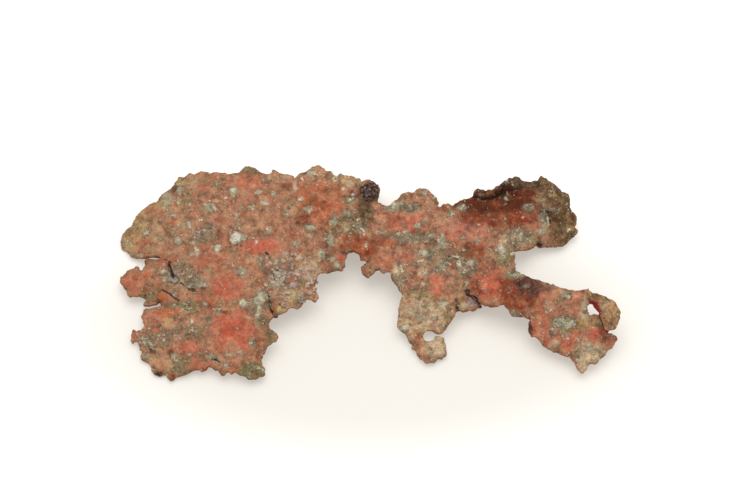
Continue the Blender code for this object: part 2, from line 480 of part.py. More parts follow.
def rough_underside(corners, places, count):
    """Gives the underside its own buckling, and lays the feet flat on the ground."""
    top, under = corners[:count], corners[count:]
    if top[:, 2].mean() < under[:, 2].mean():
        top, under = under, top
    for seed, (size, height) in enumerate(UNDER_BUCKLES):
        under[:, 2] += waves(places, size, seed + 50) * height * MM
    under[:, 2] = np.minimum(under[:, 2], top[:, 2] - LEAST_THICKNESS)
    under[:, 2] = np.maximum(under[:, 2], GROUND_GAP)
    for u, v in FEET.values():
        foot = in_space(np.array(float(u)), np.array(float(v)), np.array(0.0))
        under[np.hypot(*(under[:, :2] - foot[:2]).T) < FOOT_RADIUS, 2] = 0
    top[:, 2] = np.maximum(top[:, 2], under[:, 2] + LEAST_THICKNESS)


def copper_material():
    material = bpy.data.materials.new("crusted_copper")
    material.use_nodes = True
    finish = material.node_tree.nodes["Principled BSDF"].inputs
    finish["Base Color"].default_value = COPPER_COLOUR
    finish["Roughness"].default_value = 0.62
    finish["Metallic"].default_value = 0.15
    return material


def nugget():
    """The whole nugget as one solid, with its origin on the ground under the middle of its box."""
    rim = rim_points()
    holes = [np.array(TEAR_BELOW_FAN, float), np.array(PINHOLE, float)]
    sheet, places, thickness = middle_sheet(rim, holes)
    solid = thickened(sheet, thickness)
    corners = np.array([v.co for v in solid.vertices])
    rough_underside(corners, places, len(places))
    middle = (corners.min(axis=0) + corners.max(axis=0)) / 2
    corners[:, :2] -= middle[:2]
    solid.vertices.foreach_set("co", corners.ravel())
    solid.update()
    form = bmesh.new()
    form.from_mesh(solid)
    bmesh.ops.triangulate(form, faces=form.faces)
    form.to_mesh(solid)
    form.free()
    solid.name = "copper_sheet"
    solid.materials.append(copper_material())
    solid.shade_smooth()
    node = bpy.data.objects.new("copper_sheet", solid)
    print("drawing's middle is at", [round(-c / MM, 3) for c in middle[:2]], "mm")
    return node


def main():
    for old in list(bpy.data.objects):
        bpy.data.objects.remove(old)
    collection = bpy.data.collections.new("native_copper_nugget")
    bpy.context.scene.collection.children.link(collection)
    collection.objects.link(nugget())


main()
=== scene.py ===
"""Looks of the native copper nugget: its weathered skin, crust and crystals, the table, lights and camera.

Places on the nugget are written in squares of its drawing, U to the right and V down, as its eye point sees
them. The camera stands at that eye point, so a place on the drawing is also a place in the picture.
"""

import math

import bmesh
import bpy
import numpy as np
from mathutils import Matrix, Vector, noise


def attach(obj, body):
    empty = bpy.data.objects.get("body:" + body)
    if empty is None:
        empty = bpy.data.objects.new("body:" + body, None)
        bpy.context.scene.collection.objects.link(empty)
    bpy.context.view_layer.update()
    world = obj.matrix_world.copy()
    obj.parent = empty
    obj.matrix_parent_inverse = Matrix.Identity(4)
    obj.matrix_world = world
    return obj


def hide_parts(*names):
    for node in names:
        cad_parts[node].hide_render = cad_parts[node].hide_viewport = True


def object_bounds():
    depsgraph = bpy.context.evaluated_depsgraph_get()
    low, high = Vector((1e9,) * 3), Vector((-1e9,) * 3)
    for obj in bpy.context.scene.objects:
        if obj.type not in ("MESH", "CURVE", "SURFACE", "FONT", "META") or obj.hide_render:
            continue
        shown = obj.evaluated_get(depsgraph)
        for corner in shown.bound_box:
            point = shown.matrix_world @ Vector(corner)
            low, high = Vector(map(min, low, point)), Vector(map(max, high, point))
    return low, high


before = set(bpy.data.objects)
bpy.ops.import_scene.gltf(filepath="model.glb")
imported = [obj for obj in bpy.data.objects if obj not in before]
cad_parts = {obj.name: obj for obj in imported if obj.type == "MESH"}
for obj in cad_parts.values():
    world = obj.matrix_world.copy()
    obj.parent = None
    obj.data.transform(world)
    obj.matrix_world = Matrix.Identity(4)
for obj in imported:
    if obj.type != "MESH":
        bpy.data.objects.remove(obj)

CAD_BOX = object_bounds()
MM = 0.001
SHEET = "copper_sheet"

# The drawing and its eye point.
SQUARE = 0.26 * MM
EYE_DISTANCE = 542 * MM
EYE_ELEVATION = math.radians(55)
SINE, COSINE = math.sin(EYE_ELEVATION), math.cos(EYE_ELEVATION)
MIDDLE_U, MIDDLE_V = 375, 250
DRAWING_MIDDLE = Vector((2.58 * MM, 7.95 * MM, 0))  # where the drawing's middle lies on the table
TO_EYE = Vector((0, -COSINE, SINE))
EYE = DRAWING_MIDDLE + TO_EYE * EYE_DISTANCE
LENS, SENSOR = 100, 36

# How the table and the nugget are lit.
KEY_LIGHT = {"place": (0.04, 0.22, 0.95), "size": 1.1, "power": 7.5}
SKY = {"colour": (1, 0.99, 0.97, 1), "strength": 0.70}
BRIGHTNESS = 1.2  # light that a level white place sends to the camera

# The table top: half its width in metres, and how far it keeps below the nugget.
TABLE_HALF = 2.5
TABLE_GAP = 0.02 * MM
TABLE_PAINTED_SHADE_NEAR = (0.46, 0.44, 0.41, 1)  # painted shade: the table's darker, warmer colour beside the nugget
TABLE_FAR = (0.75, 0.75, 0.74, 1)
TABLE_TURNS = (40 * MM, 85 * MM)  # from the shaded middle, where the near colour ends and the far one starts
SHADED_MIDDLE = (0, 14 * MM, 0)  # how far the shaded middle lies towards the camera
SHADED_STRETCH = (0.8, 1.5, 1)
TABLE_PAINTED_GLOW = {"colour": (1, 0.96, 0.88, 1), "strength": 0.40}  # painted glow: light that the table top sends out itself, which lightens the shadows on it

# Minerals: colour in plain daylight in eight-bit values, how much olive film and pale flecks break it up, and
# how much pink bloom it carries.
MINERALS = {
    "copper": ((180, 118, 88), 0.4, 0.7),
    "salmon": ((198, 106, 80), 0.2, 0.5),
    "red": ((194, 90, 66), 0.15, 0.4),
    "pink": ((190, 112, 92), 0.3, 0.6),
    "blush": ((198, 142, 114), 0.3, 1.0),
    "tan": ((192, 154, 116), 0.5, 0.4),
    "peach": ((204, 150, 110), 0.25, 0.5),
    "orange": ((188, 98, 54), 0.15, 0.3),
    "rust": ((134, 53, 22), 0.22, 0.15),
    "deep_rust": ((98, 42, 16), 0.06, 0.0),
    "maroon": ((84, 42, 34), 0.2, 0.05),
    "crimson": ((128, 34, 28), 0, 0),
    "umber": ((136, 110, 88), 0.85, 0.4),
    "brown": ((104, 70, 36), 0.45, 0.0),
    # Besides their own use, these three are laid as painted shade: shadow on the rim's walls, dark in
    # creases, black in cracks and closed slits.
    "shadow": ((96, 68, 50), 0.6, 0.1),
    "dark": ((62, 40, 30), 0.4, 0),
    "black": ((28, 18, 15), 0.2, 0),
    "olive": ((132, 118, 76), 0.7, 0.1),
    "lichen": ((140, 126, 94), 0.85, 0.2),
    "ochre": ((188, 150, 98), 0.4, 0.15),
    "gold": ((178, 142, 72), 0.4, 0.1),
    "yellow": ((190, 178, 116), 0.4, 0.2),
    "grey": ((146, 138, 116), 1, 0.3),
    "green": ((174, 171, 143), 0.8, 0.1),
    "pale": ((206, 202, 174), 0.7, 0.1),
    "cream": ((206, 182, 146), 0.3, 0.4),
    "white": ((226, 222, 202), 0.4, 0.1),
    "mauve": ((174, 150, 140), 0.6, 0.4),
}
GROUND = "copper"

# Broad fields of colour: mineral: (U, V, half width, half height, share).
FIELDS = {
    "ochre": [
        (139, 222, 11, 14, 0.8), (129, 241, 9, 12, 0.7), (158, 203, 12, 7, 0.5), (564, 240, 14, 6, 0.4),
        (610, 314, 11, 17, 0.5), (588, 324, 12, 7, 0.6),
    ],
    "tan": [
        (168, 232, 26, 16, 0.4), (194, 184, 16, 8, 0.5), (412, 318, 16, 20, 0.85), (440, 316, 12, 18, 0.7),
        (432, 346, 16, 12, 0.6), (588, 350, 14, 12, 0.75), (420, 300, 22, 10, 0.5), (328, 180, 18, 8, 0.4),
        (508, 254, 8, 14, 0.5), (166, 360, 14, 8, 0.5),
    ],
    "cream": [
        (424, 316, 18, 14, 0.9), (437, 347, 11, 9, 0.95), (310, 270, 12, 11, 0.55), (290, 292, 14, 8, 0.35),
        (590, 352, 14, 12, 0.8), (585, 316, 6, 6, 0.5),
    ],
    "salmon": [
        (262, 247, 20, 8, 0.85), (232, 334, 22, 20, 0.8), (228, 286, 16, 14, 0.65), (182, 346, 16, 7, 0.6),
        (198, 364, 14, 6, 0.6), (134, 284, 11, 10, 0.6), (212, 258, 18, 8, 0.5), (404, 223, 18, 11, 0.65),
        (246, 184, 20, 8, 0.5), (436, 283, 8, 13, 0.85), (497, 282, 15, 13, 0.7), (557, 305, 24, 12, 0.65),
        (541, 326, 9, 11, 0.75), (567, 342, 9, 9, 0.75), (599, 336, 14, 9, 0.6),
    ],
    "red": [
        (234, 328, 16, 15, 0.6), (226, 286, 13, 14, 0.4), (488, 288, 14, 12, 0.6), (262, 248, 18, 6, 0.4),
        (384, 259, 13, 7, 0.5),
    ],
    "pink": [
        (464, 228, 24, 14, 0.85), (247, 196, 8, 6, 0.4), (472, 302, 8, 7, 0.7), (151, 318, 7, 6, 0.6),
        (532, 222, 9, 6, 0.6), (404, 266, 12, 12, 0.3),
    ],
    "orange": [(322, 206, 28, 24, 0.5)],
    "rust": [
        (338, 243, 20, 10, 0.5), (354, 236, 12, 6, 0.5), (364, 248, 13, 9, 0.95), (384, 240, 16, 6, 0.5),
        (502, 217, 38, 10, 0.9), (516, 212, 28, 12, 0.9), (476, 272, 14, 8, 0.6), (517, 300, 19, 10, 0.95),
        (513, 285, 13, 12, 0.9), (516, 296, 14, 14, 0.8), (472, 251, 16, 8, 0.75), (152, 264, 9, 5, 0.4),
        (206, 296, 10, 8, 0.35),
    ],
    "deep_rust": [
        # The first four lie in the wing's hollow under its rolled rim: its own dark rust, and partly painted
        # shade.
        (480, 205, 24, 10, 1), (516, 197, 22, 13, 0.95), (474, 204, 20, 9, 0.9), (504, 201, 26, 10, 0.8),
        (302, 219, 8, 8, 0.6), (402, 242, 8, 4, 0.7),
    ],
    "maroon": [
        (483, 191, 11, 5, 0.8), (505, 188, 12, 6, 0.6), (530, 285, 13, 11, 0.95), (529.4, 328, 2.6, 10, 0.7),
        (545, 289, 10, 4, 0.5),
    ],
    "umber": [
        (360, 226, 9, 5, 0.6), (203, 237, 12, 7, 0.7), (275, 266, 16, 9, 0.5), (290, 280, 18, 12, 0.35),
        (158, 338, 18, 10, 0.7), (186, 332, 16, 8, 0.5), (256, 312, 10, 8, 0.5), (180, 276, 15, 10, 0.6),
        (557, 306, 15, 9, 0.35),
    ],
    "olive": [
        (188, 197, 5, 8, 0.6), (186, 306, 16, 6, 0.7), (252, 370, 12, 9, 0.9), (181, 366, 12, 9, 0.7),
        (352, 222, 13, 10, 0.7), (271, 338, 6, 9, 0.7), (505, 256, 9, 8, 0.8), (151, 297, 13, 6, 0.5),
    ],
    "brown": [
        (562, 208, 16, 26, 0.85), (562, 236, 14, 9, 0.7), (462, 258, 15, 8, 0.35), (352, 197, 8, 4, 0.7),
        (364, 210, 8, 14, 0.85), (266, 326, 6, 7, 0.4), (594, 296, 7, 3, 0.8), (513, 181, 12, 5, 0.9),
        (531, 184, 14, 5, 0.7), (549, 185, 13, 9, 0.8),
    ],
    "grey": [
        (261, 300, 11, 9, 0.6), (280, 278, 12, 9, 0.5), (518, 237, 15, 8, 0.65), (566, 323, 13, 7, 0.8),
        (467, 268, 10, 9, 0.6), (400, 275, 8, 10, 0.5), (395, 206, 9, 5, 0.8), (193, 281, 11, 8, 0.6),
        (412, 238, 24, 5, 0.7), (427, 253, 8, 6, 0.6), (515, 274, 9, 4, 0.7), (436, 262, 26, 14, 0.3),
    ],
    "dark": [(370, 192, 11, 11, 0.95), (513, 183, 12, 5, 0.8), (531, 184, 13, 4, 0.7)],
}

# Middle-sized patches, laid over the fields.
PATCHES = {
    "red": [
        (172, 224, 5, 3, 0.6), (156.5, 330, 4, 3, 0.95), (341.5, 258.5, 3.2, 5.5, 0.9),
        (327.4, 206.4, 3, 2.4, 0.8), (410.7, 257, 3.6, 5.4, 0.9), (434, 323, 4, 1.6, 0.7),
        (211, 304, 2.2, 7, 0.9), (231, 276, 6, 4, 0.6), (244.3, 350.2, 2.4, 2.4, 0.9),
        (290.6, 279.4, 1.8, 3, 0.7), (595.4, 331, 6, 4, 0.7), (425, 227, 2.4, 3, 0.7),
        (473.8, 310.6, 3, 1.8, 0.8), (546, 343, 2.6, 2.6, 0.9), (192, 367, 5, 3, 0.8),
        (176, 312, 4, 3.4, 0.7),
    ],
    "salmon": [
        (204, 187, 7, 4, 0.7), (273, 248, 9, 4, 0.6), (266.6, 262.4, 2.8, 3.4, 0.8), (316, 187, 6, 5, 0.5),
    ],
    "orange": [
        (147, 242, 5, 4, 0.4), (165, 314, 7, 5, 0.9), (163.6, 297, 7, 4, 0.85), (145, 275, 6, 4, 0.6),
        (359.6, 247, 8, 5, 0.7), (515, 301.6, 13, 4, 0.35), (573.6, 331.6, 4, 2.6, 0.7),
        (477, 285, 6, 4, 0.6), (251.6, 294.6, 2, 4, 0.6), (229, 370, 6, 2.2, 0.7), (134, 337, 2.6, 6, 0.5),
        (389.6, 242.4, 8, 4, 0.5),
    ],
    "rust": [
        (453.6, 265.4, 3.2, 4.4, 0.9), (258.6, 352, 3.4, 10, 0.7), (288, 277, 9, 7, 0.35),
        (413, 231, 3, 4, 0.7), (444, 208, 4, 3, 0.7), (472, 219, 13, 5, 0.7), (437, 297, 3, 3, 0.6),
        (428, 313.6, 4, 2.2, 0.5), (474.6, 286, 7, 5, 0.8), (482, 292.4, 4, 3, 0.8), (286.4, 186, 6, 4, 0.7),
        (275.4, 178, 3, 3, 0.6), (257, 190.2, 6, 1.8, 0.7), (295.6, 235, 7, 4, 0.6),
        (316.8, 202.4, 6, 5.4, 0.7), (418, 335.4, 4, 5, 0.6), (418, 347, 5, 4, 0.5),
        (495.8, 204.4, 5, 3, 0.7), (171.4, 377, 4, 3, 0.9), (206, 368.6, 5, 2, 0.8), (227, 312, 6, 2.2, 0.7),
        (146, 262, 5, 3, 0.5),
    ],
    "peach": [
        (162, 363, 9, 7, 0.85), (171, 325, 9, 4, 0.6), (183, 294, 5, 4, 0.7), (310.6, 293, 3, 5, 0.6),
        (490.6, 193, 3.4, 1.4, 0.6), (413, 320, 5, 4, 0.5),
    ],
    "yellow": [
        (180.4, 181.8, 4.4, 3.2, 0.75), (165, 207, 3.4, 3, 0.8), (162, 202.6, 2, 2, 0.6),
        (169.6, 319.6, 7, 2, 0.7), (281, 309, 6, 3, 0.75), (291.6, 296, 3.4, 7, 0.7),
        (343.6, 181.8, 3, 3, 0.7), (358, 181.2, 3, 2, 0.7), (157.2, 350.6, 2, 2.2, 1.0),
        (165, 279.4, 1.6, 1.6, 0.9), (295, 208.8, 3, 2.2, 0.6), (461, 275, 3.4, 3, 0.5),
        (552.6, 195.8, 4, 2, 0.6), (533.8, 239.6, 3, 3.4, 0.7), (541, 199, 6, 3.4, 0.5),
        (564.6, 329.8, 6, 2.4, 0.7), (599.6, 323.4, 2.6, 2, 0.7), (421, 294.6, 9, 3, 0.6),
    ],
    "gold": [
        (568, 227.6, 6, 2.2, 0.7), (549.4, 230.2, 3.4, 1.6, 0.7), (580, 325, 5, 4, 0.8),
        (447.8, 312.4, 2.6, 4.4, 0.6), (444, 343, 2, 6, 0.8), (462.4, 299.4, 1.8, 4, 0.8),
        (618, 313, 2.6, 5, 0.6), (587, 296.6, 3, 3, 0.6),
    ],
    "olive": [
        (604, 299, 6, 2.6, 0.8), (157.6, 237, 8, 4, 0.5), (128.8, 231.4, 5, 3, 0.5),
        (219.4, 185, 3.6, 5, 0.6), (249.4, 170, 9, 3, 0.7), (291, 203, 6, 4, 0.6), (330.8, 229.6, 6, 3, 0.8),
        (434.8, 199.8, 3, 4, 0.6), (465, 285, 3, 5, 0.7), (424, 303.2, 3, 2.6, 0.7), (592, 296, 4, 3, 0.6),
        (578.4, 356.6, 2.6, 3, 0.6), (262, 320, 6, 5, 0.7),
    ],
    "dark": [
        # Among these, (500, 192.4) and (486, 198.8) under the wing's rolled rim, (424, 243.6) under the
        # ridge, the pit at (214.8, 358.6) and the notch at (158, 302.6) are painted shade.
        (214.8, 358.6, 3, 1.8, 0.9), (175.4, 189, 3.8, 2.8, 0.95), (314, 175.8, 3.2, 1.8, 0.9),
        (324.2, 202.2, 1.6, 2, 0.8), (367, 210.6, 2, 2, 0.9), (352, 191.2, 3, 1.2, 0.8),
        (153, 352, 4, 3.4, 0.75), (158.4, 374, 6, 2.8, 0.95), (158, 302.6, 2.6, 1.8, 0.9),
        (171, 352, 2.6, 3.4, 0.7), (500, 192.4, 4, 4.4, 0.85), (486, 198.8, 8, 1.6, 0.8),
        (457.4, 304, 2.4, 7, 0.9), (284.2, 223, 2.6, 2.6, 0.5), (402.6, 207, 1.4, 1.8, 0.8),
        (188, 306.6, 6, 3, 0.4), (298, 269, 2, 6, 0.5), (182.4, 266.2, 2.2, 1.2, 0.9),
        (347.6, 252.2, 7, 1.8, 0.8), (569, 231.2, 3.6, 2.6, 0.6), (572.4, 215.6, 3.6, 3.6, 0.5),
        (270, 289.6, 4, 2, 0.7), (432, 230, 4, 4, 0.6), (539.4, 244, 3.2, 3, 1.0), (424, 243.6, 7, 1, 0.7),
        (447, 275, 5, 2, 0.6), (428, 358, 3, 3.4, 0.4),
    ],
    "crimson": [
        (588.4, 300.4, 2.6, 3.8, 1.0), (592.6, 303, 4.4, 2.6, 1.0), (596.6, 306.6, 3.2, 3.8, 1.0),
        (599.8, 311, 2.8, 4, 1.0), (598.4, 295, 4, 1.2, 0.7), (588.6, 313, 2.2, 1.2, 1.0),
        (492, 306, 9, 1.2, 0.7), (479.4, 306.4, 2, 1.6, 0.9), (554.8, 220.6, 1.6, 1.6, 0.7),
    ],
    "mauve": [
        (198, 235.6, 5, 4, 0.5), (367.4, 191.8, 4.6, 4.4, 0.6), (481.6, 194.6, 3, 1.4, 0.4),
        (526.4, 286.4, 4, 1.6, 0.4), (551.7, 331.4, 3, 4, 0.8), (565.4, 334.8, 5, 1.8, 0.8),
        (295.8, 244.6, 5, 4, 0.6), (308, 272, 6, 5, 0.5), (409.6, 307.6, 3, 3, 0.6),
        (606.8, 310.4, 2, 2, 0.5), (171, 277, 8, 8, 0.8), (471, 303, 7, 6, 0.8), (308, 282, 4, 4, 0.6),
    ],
    "grey": [
        (182, 264, 6, 3.4, 0.6), (209, 226.4, 6, 5, 0.6), (359.6, 229.6, 5, 5, 0.6), (412, 208.6, 6, 5, 0.8),
        (253, 343, 3.4, 5, 0.7), (219, 311, 3, 3, 0.8), (429.8, 348.8, 1.9, 1.9, 0.95),
        (434.6, 319.4, 3.4, 3, 0.5), (174, 291.6, 4.6, 3.6, 0.6), (415.8, 288, 3, 3.6, 0.7),
        (209, 320, 3, 5, 0.5), (146, 342, 6, 5, 0.6), (544, 216, 6, 10, 0.7), (425, 286, 2, 4, 0.6),
        (400, 285, 3, 5, 0.7),
    ],
    "cream": [
        (543, 229, 5, 4, 0.6), (269, 178, 4, 2, 0.7), (284, 176.4, 8, 2.4, 0.8), (294.6, 185.6, 2, 5, 0.8),
        (350.4, 183.4, 4, 3.6, 0.7), (259, 237.4, 3, 1.6, 0.6), (423.8, 272.6, 5, 4, 0.7),
        (504.4, 241.4, 5, 2.6, 0.7), (585, 309, 4.6, 10, 1.0), (463.6, 306, 4, 4, 0.8),
        (434.6, 344.4, 7, 5, 0.7), (402.6, 325, 4.6, 5, 0.5), (555.6, 344.6, 6, 4, 0.7),
        (581.8, 364.8, 4.6, 7, 0.8), (602.6, 305.4, 3.6, 2.8, 0.7), (443, 304.4, 3.6, 4, 0.7),
        (396, 271, 3, 9, 0.8),
    ],
}

# Carbonate crust, raised a little, laid over both, with some painted glints among the white spots.
CRUSTS_AND_GLINTS = {
    "green": [
        (180.2, 190.4, 3, 3.4, 0.8), (209.2, 208.2, 5, 3.4, 0.8), (233, 191.6, 4, 3.6, 0.9),
        (243.2, 237.4, 3.6, 3.4, 0.7), (127.8, 243.4, 3.4, 3.2, 0.6), (137.8, 255.6, 5, 2, 0.5),
        (239.2, 226, 3, 4, 0.5), (249.4, 208, 2.6, 1.8, 0.8), (240.6, 207.8, 1.8, 2.4, 0.7),
        (287, 212.8, 2, 4, 0.8), (260.4, 260, 2, 5, 0.9), (240.6, 272, 4.4, 4, 0.7),
        (310.4, 173.4, 4, 2.6, 0.7), (347, 213.4, 4.4, 2.4, 0.9), (334.8, 220.6, 3.6, 5, 0.8),
        (310.4, 227.6, 5.4, 3, 0.9), (347, 228.4, 4, 2, 0.6), (350, 201, 4, 3, 0.6),
        (330.2, 241, 2.6, 7, 0.8), (321.8, 254.4, 4, 5.4, 0.8), (307.6, 209, 5, 3, 0.7),
        (381, 232.4, 6, 1.8, 0.7), (398, 204, 5.4, 4, 0.8), (391, 209.2, 3.4, 2.2, 0.7),
        (423, 192.4, 3.6, 2.2, 0.7), (449.6, 213.6, 3, 2.8, 0.7), (462, 207.6, 4, 3.4, 0.6),
        (426, 220.8, 4, 1.4, 0.7), (442.2, 243.6, 4.6, 5.4, 0.8), (442.2, 265.6, 4.4, 5.4, 0.6),
        (463.6, 249.4, 2, 2, 0.7), (464.8, 236.6, 2, 1.8, 0.6), (476.8, 240, 2.2, 1.8, 0.6),
        (528.6, 207.6, 5, 3.6, 0.6), (551.8, 209.4, 3.6, 1.8, 0.7), (565.4, 295, 4.6, 2.8, 0.8),
        (557.4, 321.8, 5, 3.6, 0.7), (568, 324.4, 6, 4, 0.8), (514.4, 312.8, 4.6, 2.4, 0.7),
        (514.6, 274, 7, 2.2, 0.6), (145, 357, 5, 3, 0.5), (198.6, 284.4, 5, 3.4, 0.6),
        (211, 357, 5, 2.4, 0.6),
    ],
    "pale": [
        (167, 199.4, 6, 5.4, 0.6), (177.9, 240.8, 3, 2.8, 1.0), (189.4, 224.4, 1.6, 3.6, 0.9),
        (146, 232.6, 2.2, 2, 0.9), (192.6, 242.8, 3, 1.6, 0.6), (197, 251.6, 2.6, 3.4, 0.6),
        (191.4, 254.8, 2.6, 1.4, 0.6), (217.2, 248.8, 2.4, 3.6, 0.9), (172.4, 215.6, 3, 1.4, 0.7),
        (178, 203.2, 1.8, 1.6, 0.9), (263.6, 202.4, 3.6, 1.6, 0.9), (258.2, 192.4, 3.4, 2, 0.6),
        (273.2, 194.2, 2.6, 2, 0.6), (268.6, 231.2, 2.8, 1.8, 0.7), (236.4, 214.8, 1.4, 2.4, 0.7),
        (342.8, 188.2, 1.6, 1.8, 0.8), (336.6, 264, 3, 3, 0.8), (332.2, 258.4, 3, 2.6, 0.6),
        (418, 226, 3.6, 2.6, 0.8), (441.8, 235.6, 2.2, 2.2, 0.8), (425.2, 253, 5, 3.4, 0.6),
        (454, 256.6, 4, 1.4, 0.8), (162.6, 272, 3.4, 2.4, 0.95), (205.2, 304.4, 2.2, 2.2, 0.8),
        (282, 273, 6, 3, 0.8), (276.4, 283.4, 6, 3.6, 0.7), (259, 300, 5, 4.4, 0.8),
        (263.6, 294.4, 5, 3, 0.6), (301, 298.6, 4, 3.4, 0.8), (243.6, 303, 3.6, 3.4, 0.9),
        (257.6, 314.4, 2, 4, 0.8), (541.4, 231, 4.6, 4, 0.5), (519.8, 237, 1.4, 3, 0.6),
        (470.4, 263.4, 3, 2.6, 0.7), (590, 348, 3, 2.6, 0.6), (240.4, 352, 1.8, 3, 0.7),
        (174.6, 356.6, 3, 2.4, 0.7), (229, 355, 4, 1.6, 0.6),
    ],
    "white": [
        # Among these, the spots at (370.9, 185.4), (375.5, 194.1), (479.9, 199.2), (507, 199), (523.4, 218),
        # (547.6, 313.2) and (568.6, 338.4) are painted glints.
        (235.8, 238.6, 4.4, 5.6, 1.0), (225.6, 197.6, 1.6, 1.4, 0.9), (263.8, 180, 1.4, 1.8, 0.95),
        (205.4, 204.6, 1.6, 1.4, 0.9), (300.6, 199.2, 1.8, 1.6, 0.9), (257, 242.8, 1.8, 1.2, 0.8),
        (353, 193.8, 1.6, 1.2, 0.9), (370.9, 185.4, 0.9, 0.9, 0.9), (375.5, 194.1, 0.9, 0.9, 0.95),
        (366, 244.6, 1.2, 2.2, 0.7), (405.5, 232, 2.6, 1, 0.7), (420.2, 260.6, 3, 0.9, 0.9),
        (459.2, 264.2, 2.4, 2.2, 1.0), (426, 273.6, 2, 1.6, 0.7), (479.9, 199.2, 1.4, 0.9, 0.9),
        (507, 199, 1.6, 1.8, 0.6), (523.4, 218, 1.1, 1, 0.9), (547.6, 313.2, 1.3, 1.3, 1.0),
        (568.6, 338.4, 1, 1, 0.9), (191.4, 321.8, 1.4, 1.2, 0.95), (176.6, 278.6, 1.6, 2.2, 0.8),
        (310.4, 236, 3, 2, 0.4), (226, 365, 3, 1.8, 0.7), (443, 304, 3.6, 3, 0.5), (422, 316, 2.4, 2.4, 0.5),
        (406, 328, 5, 2.2, 0.5), (501, 249, 4.6, 3.6, 0.6),
    ],
}

# Fine cracks, painted black as the shade down in them: half width in squares, depth in millimetres, points.
CRACKS = [
    (0.7, 0.4, [(163.6, 258.6), (167, 260.6), (172.4, 262.8)]),
    (0.7, 0.3, [(265, 251.6), (268.4, 255), (271, 259)]),
    (0.8, 0.4, [(213, 358.4), (216, 359.4), (220, 362.6)]),
    (0.9, 0.4, [(162, 290), (168, 293), (173, 297), (179, 301)]),
    (0.7, 0.3, [(181, 283), (186, 287), (190, 290)]),
    (0.8, 0.4, [(548.4, 212), (549, 216), (549.8, 220), (550.6, 223)]),
    (0.7, 0.2, [(479, 200.2), (484, 198.8), (490, 199.2), (495, 197.4), (499, 194)]),
    (0.7, 0.3, [(279, 303), (281, 305.6)]),
    (1.4, 0.5, [(537.6, 244.4), (540, 244.4)]),
    (0.8, 0.3, [(448, 255.4), (453, 257.6), (458, 259)]),
]

# Slits that all but close, their walls painted black as the shade down in them: how far each wall bulges in,
# in millimetres, and the slit's line.
SEAMS = [
    (0.24, [(267.8, 293.4), (270, 301), (270.6, 307)]),
    (0.5, [(271, 308), (272.6, 312), (275, 316)]),
    (0.24, [(188, 289.6), (191, 291), (196, 291.4)]),
    (0.24, [(200, 291), (205, 290.8)]),
    (0.9, [(466.4, 294), (470.6, 293)]),
    (0.5, [(167.4, 262), (168, 271), (168.6, 279)]),
    (0.26, [(470.6, 294.6), (476, 298), (480, 303), (480.4, 307)]),
    (0.5, [(600.6, 315), (603, 320), (604.6, 326), (606.6, 330)]),
]

# Nodules that stand proud: (U, V, half width, half height, height in millimetres).
NODULES = [
    (236.4, 238.4, 5, 5.6, 0.5), (177.8, 240.8, 3.2, 3, 0.4), (167, 199.6, 6.2, 5.6, 0.3),
    (217.2, 248.8, 2.8, 3.8, 0.3), (243.6, 303, 3.8, 3.6, 0.3), (162.6, 272, 3.6, 2.8, 0.35),
    (233, 191.6, 4.2, 3.8, 0.25), (282, 273, 6, 3.6, 0.25), (459.2, 264.2, 2.8, 2.6, 0.35),
    (347, 213.4, 4.6, 2.8, 0.25), (316.8, 202.4, 6, 5.6, 0.3), (442.2, 265.6, 4.8, 5.8, 0.2),
    (209.2, 208, 5, 3.8, 0.25), (163.6, 297, 7, 4.6, 0.3),
]

# The skin grows more broken from this U on, over this many squares.
RUGGED = (285, 30)

# The layers of colour, lowest first: how soft their edges are, in half widths, then the level of their
# blotches and what broad and small ones add to it.
LAYERS = ((FIELDS, 0.45, (1, 0.5, 0.6)), (PATCHES, 0.45, (1.1, 0.15, 0.4)), (CRUSTS_AND_GLINTS, 0.35, (1.1, 0.15, 0.4)))
BLOTCHES = ((1.6, 20), (0.9, 30))  # broad and small: size in millimetres, first seed
FIELD_STRENGTH = 1.25
RIM_PAINTED_SHADE = 0.4  # painted shade: how much the rim's walls, which face sideways and down, are darkened
GRAIN_RISE, GRAIN_SIDE = 0.4, 0.5 * MM  # how the skin's grain moves on with height, and on the rim's walls
PROUD_ROUNDS = 6  # rounds of smoothing that what stands proud is measured against

# The dark ring round crust, partly dirt and partly painted shade under the raised crust: how much wider it
# is, how far down it lies in squares, its soft edge, its share, how much light it sends back, and its olive
# film.
HALO = {"growth": 1.5, "drop": 0.5, "edge": 0.6, "share": 0.55, "light": 0.6, "film": 0.8}

# The finer skin: how often every face of the solid is divided in four, and how far each round rounds it off.
SKIN_ROUNDS = 2
SKIN_SOFTNESS = 0.4

# Steps that set each seed's noise apart.
SEED_STEP = 7.31
SEED_SHIFT = (0.37, 0.71, 0.13)

# How far the edges of colours wander: wave size in millimetres, seeds across and down, reach in squares.
WANDER = ((2.2, (1, 2), 1.4), (0.9, (3, 4), 1.6))

# Which way the skin faces, by the upward share of its normal: where it starts to count, and over how much.
FACES_UP = (-0.25, 0.4)
LEANS_OVER, NOT_UNDER = (-0.45, 0.6), (-1.05, 0.5)
STEEP = (-0.8, 0.5)

# Crust in small spots, and the regions that it keeps to: size in millimetres and seed, then where it starts
# and over how much.
SPOTS, SPOTS_SHOW = (1.3, 5), (0.34, 0.16)
REGIONS, REGIONS_SHOW = (9, 6), (-0.35, 0.5)
SPOTS_SHARE = 0.8

# Relief of the skin: size of the waves in millimetres, seed, height in millimetres.
BULGES = ((3.4, 8, 0.34), (1.7, 9, 0.24))  # always outwards
BULGES_SINK = (0.08, 0.05)  # how far the bulges are let in, in millimetres
PIMPLES = (0.85, 10, 0.10)
RIM_TEARS = ((1.1, 12, 0.42), (2.6, 13, 0.3))
CRUST_GRAIN = (0.8, 11, 0.10)
CRUST_HEIGHT = 0.10
FOOT_SHARE = 0.35  # share of the relief kept at the ground
FOOT_REACH = 0.5  # millimetres above the ground where all of it is back

# Soft edges, in widths of the thing itself.
CRUST_EDGE, NODULE_EDGE = 0.3, 0.6
CRACK_EDGE, CRACK_WANDER = 1.5, 0.25
SEAM_EDGE, SEAM_REACH = 1.8, 1.6

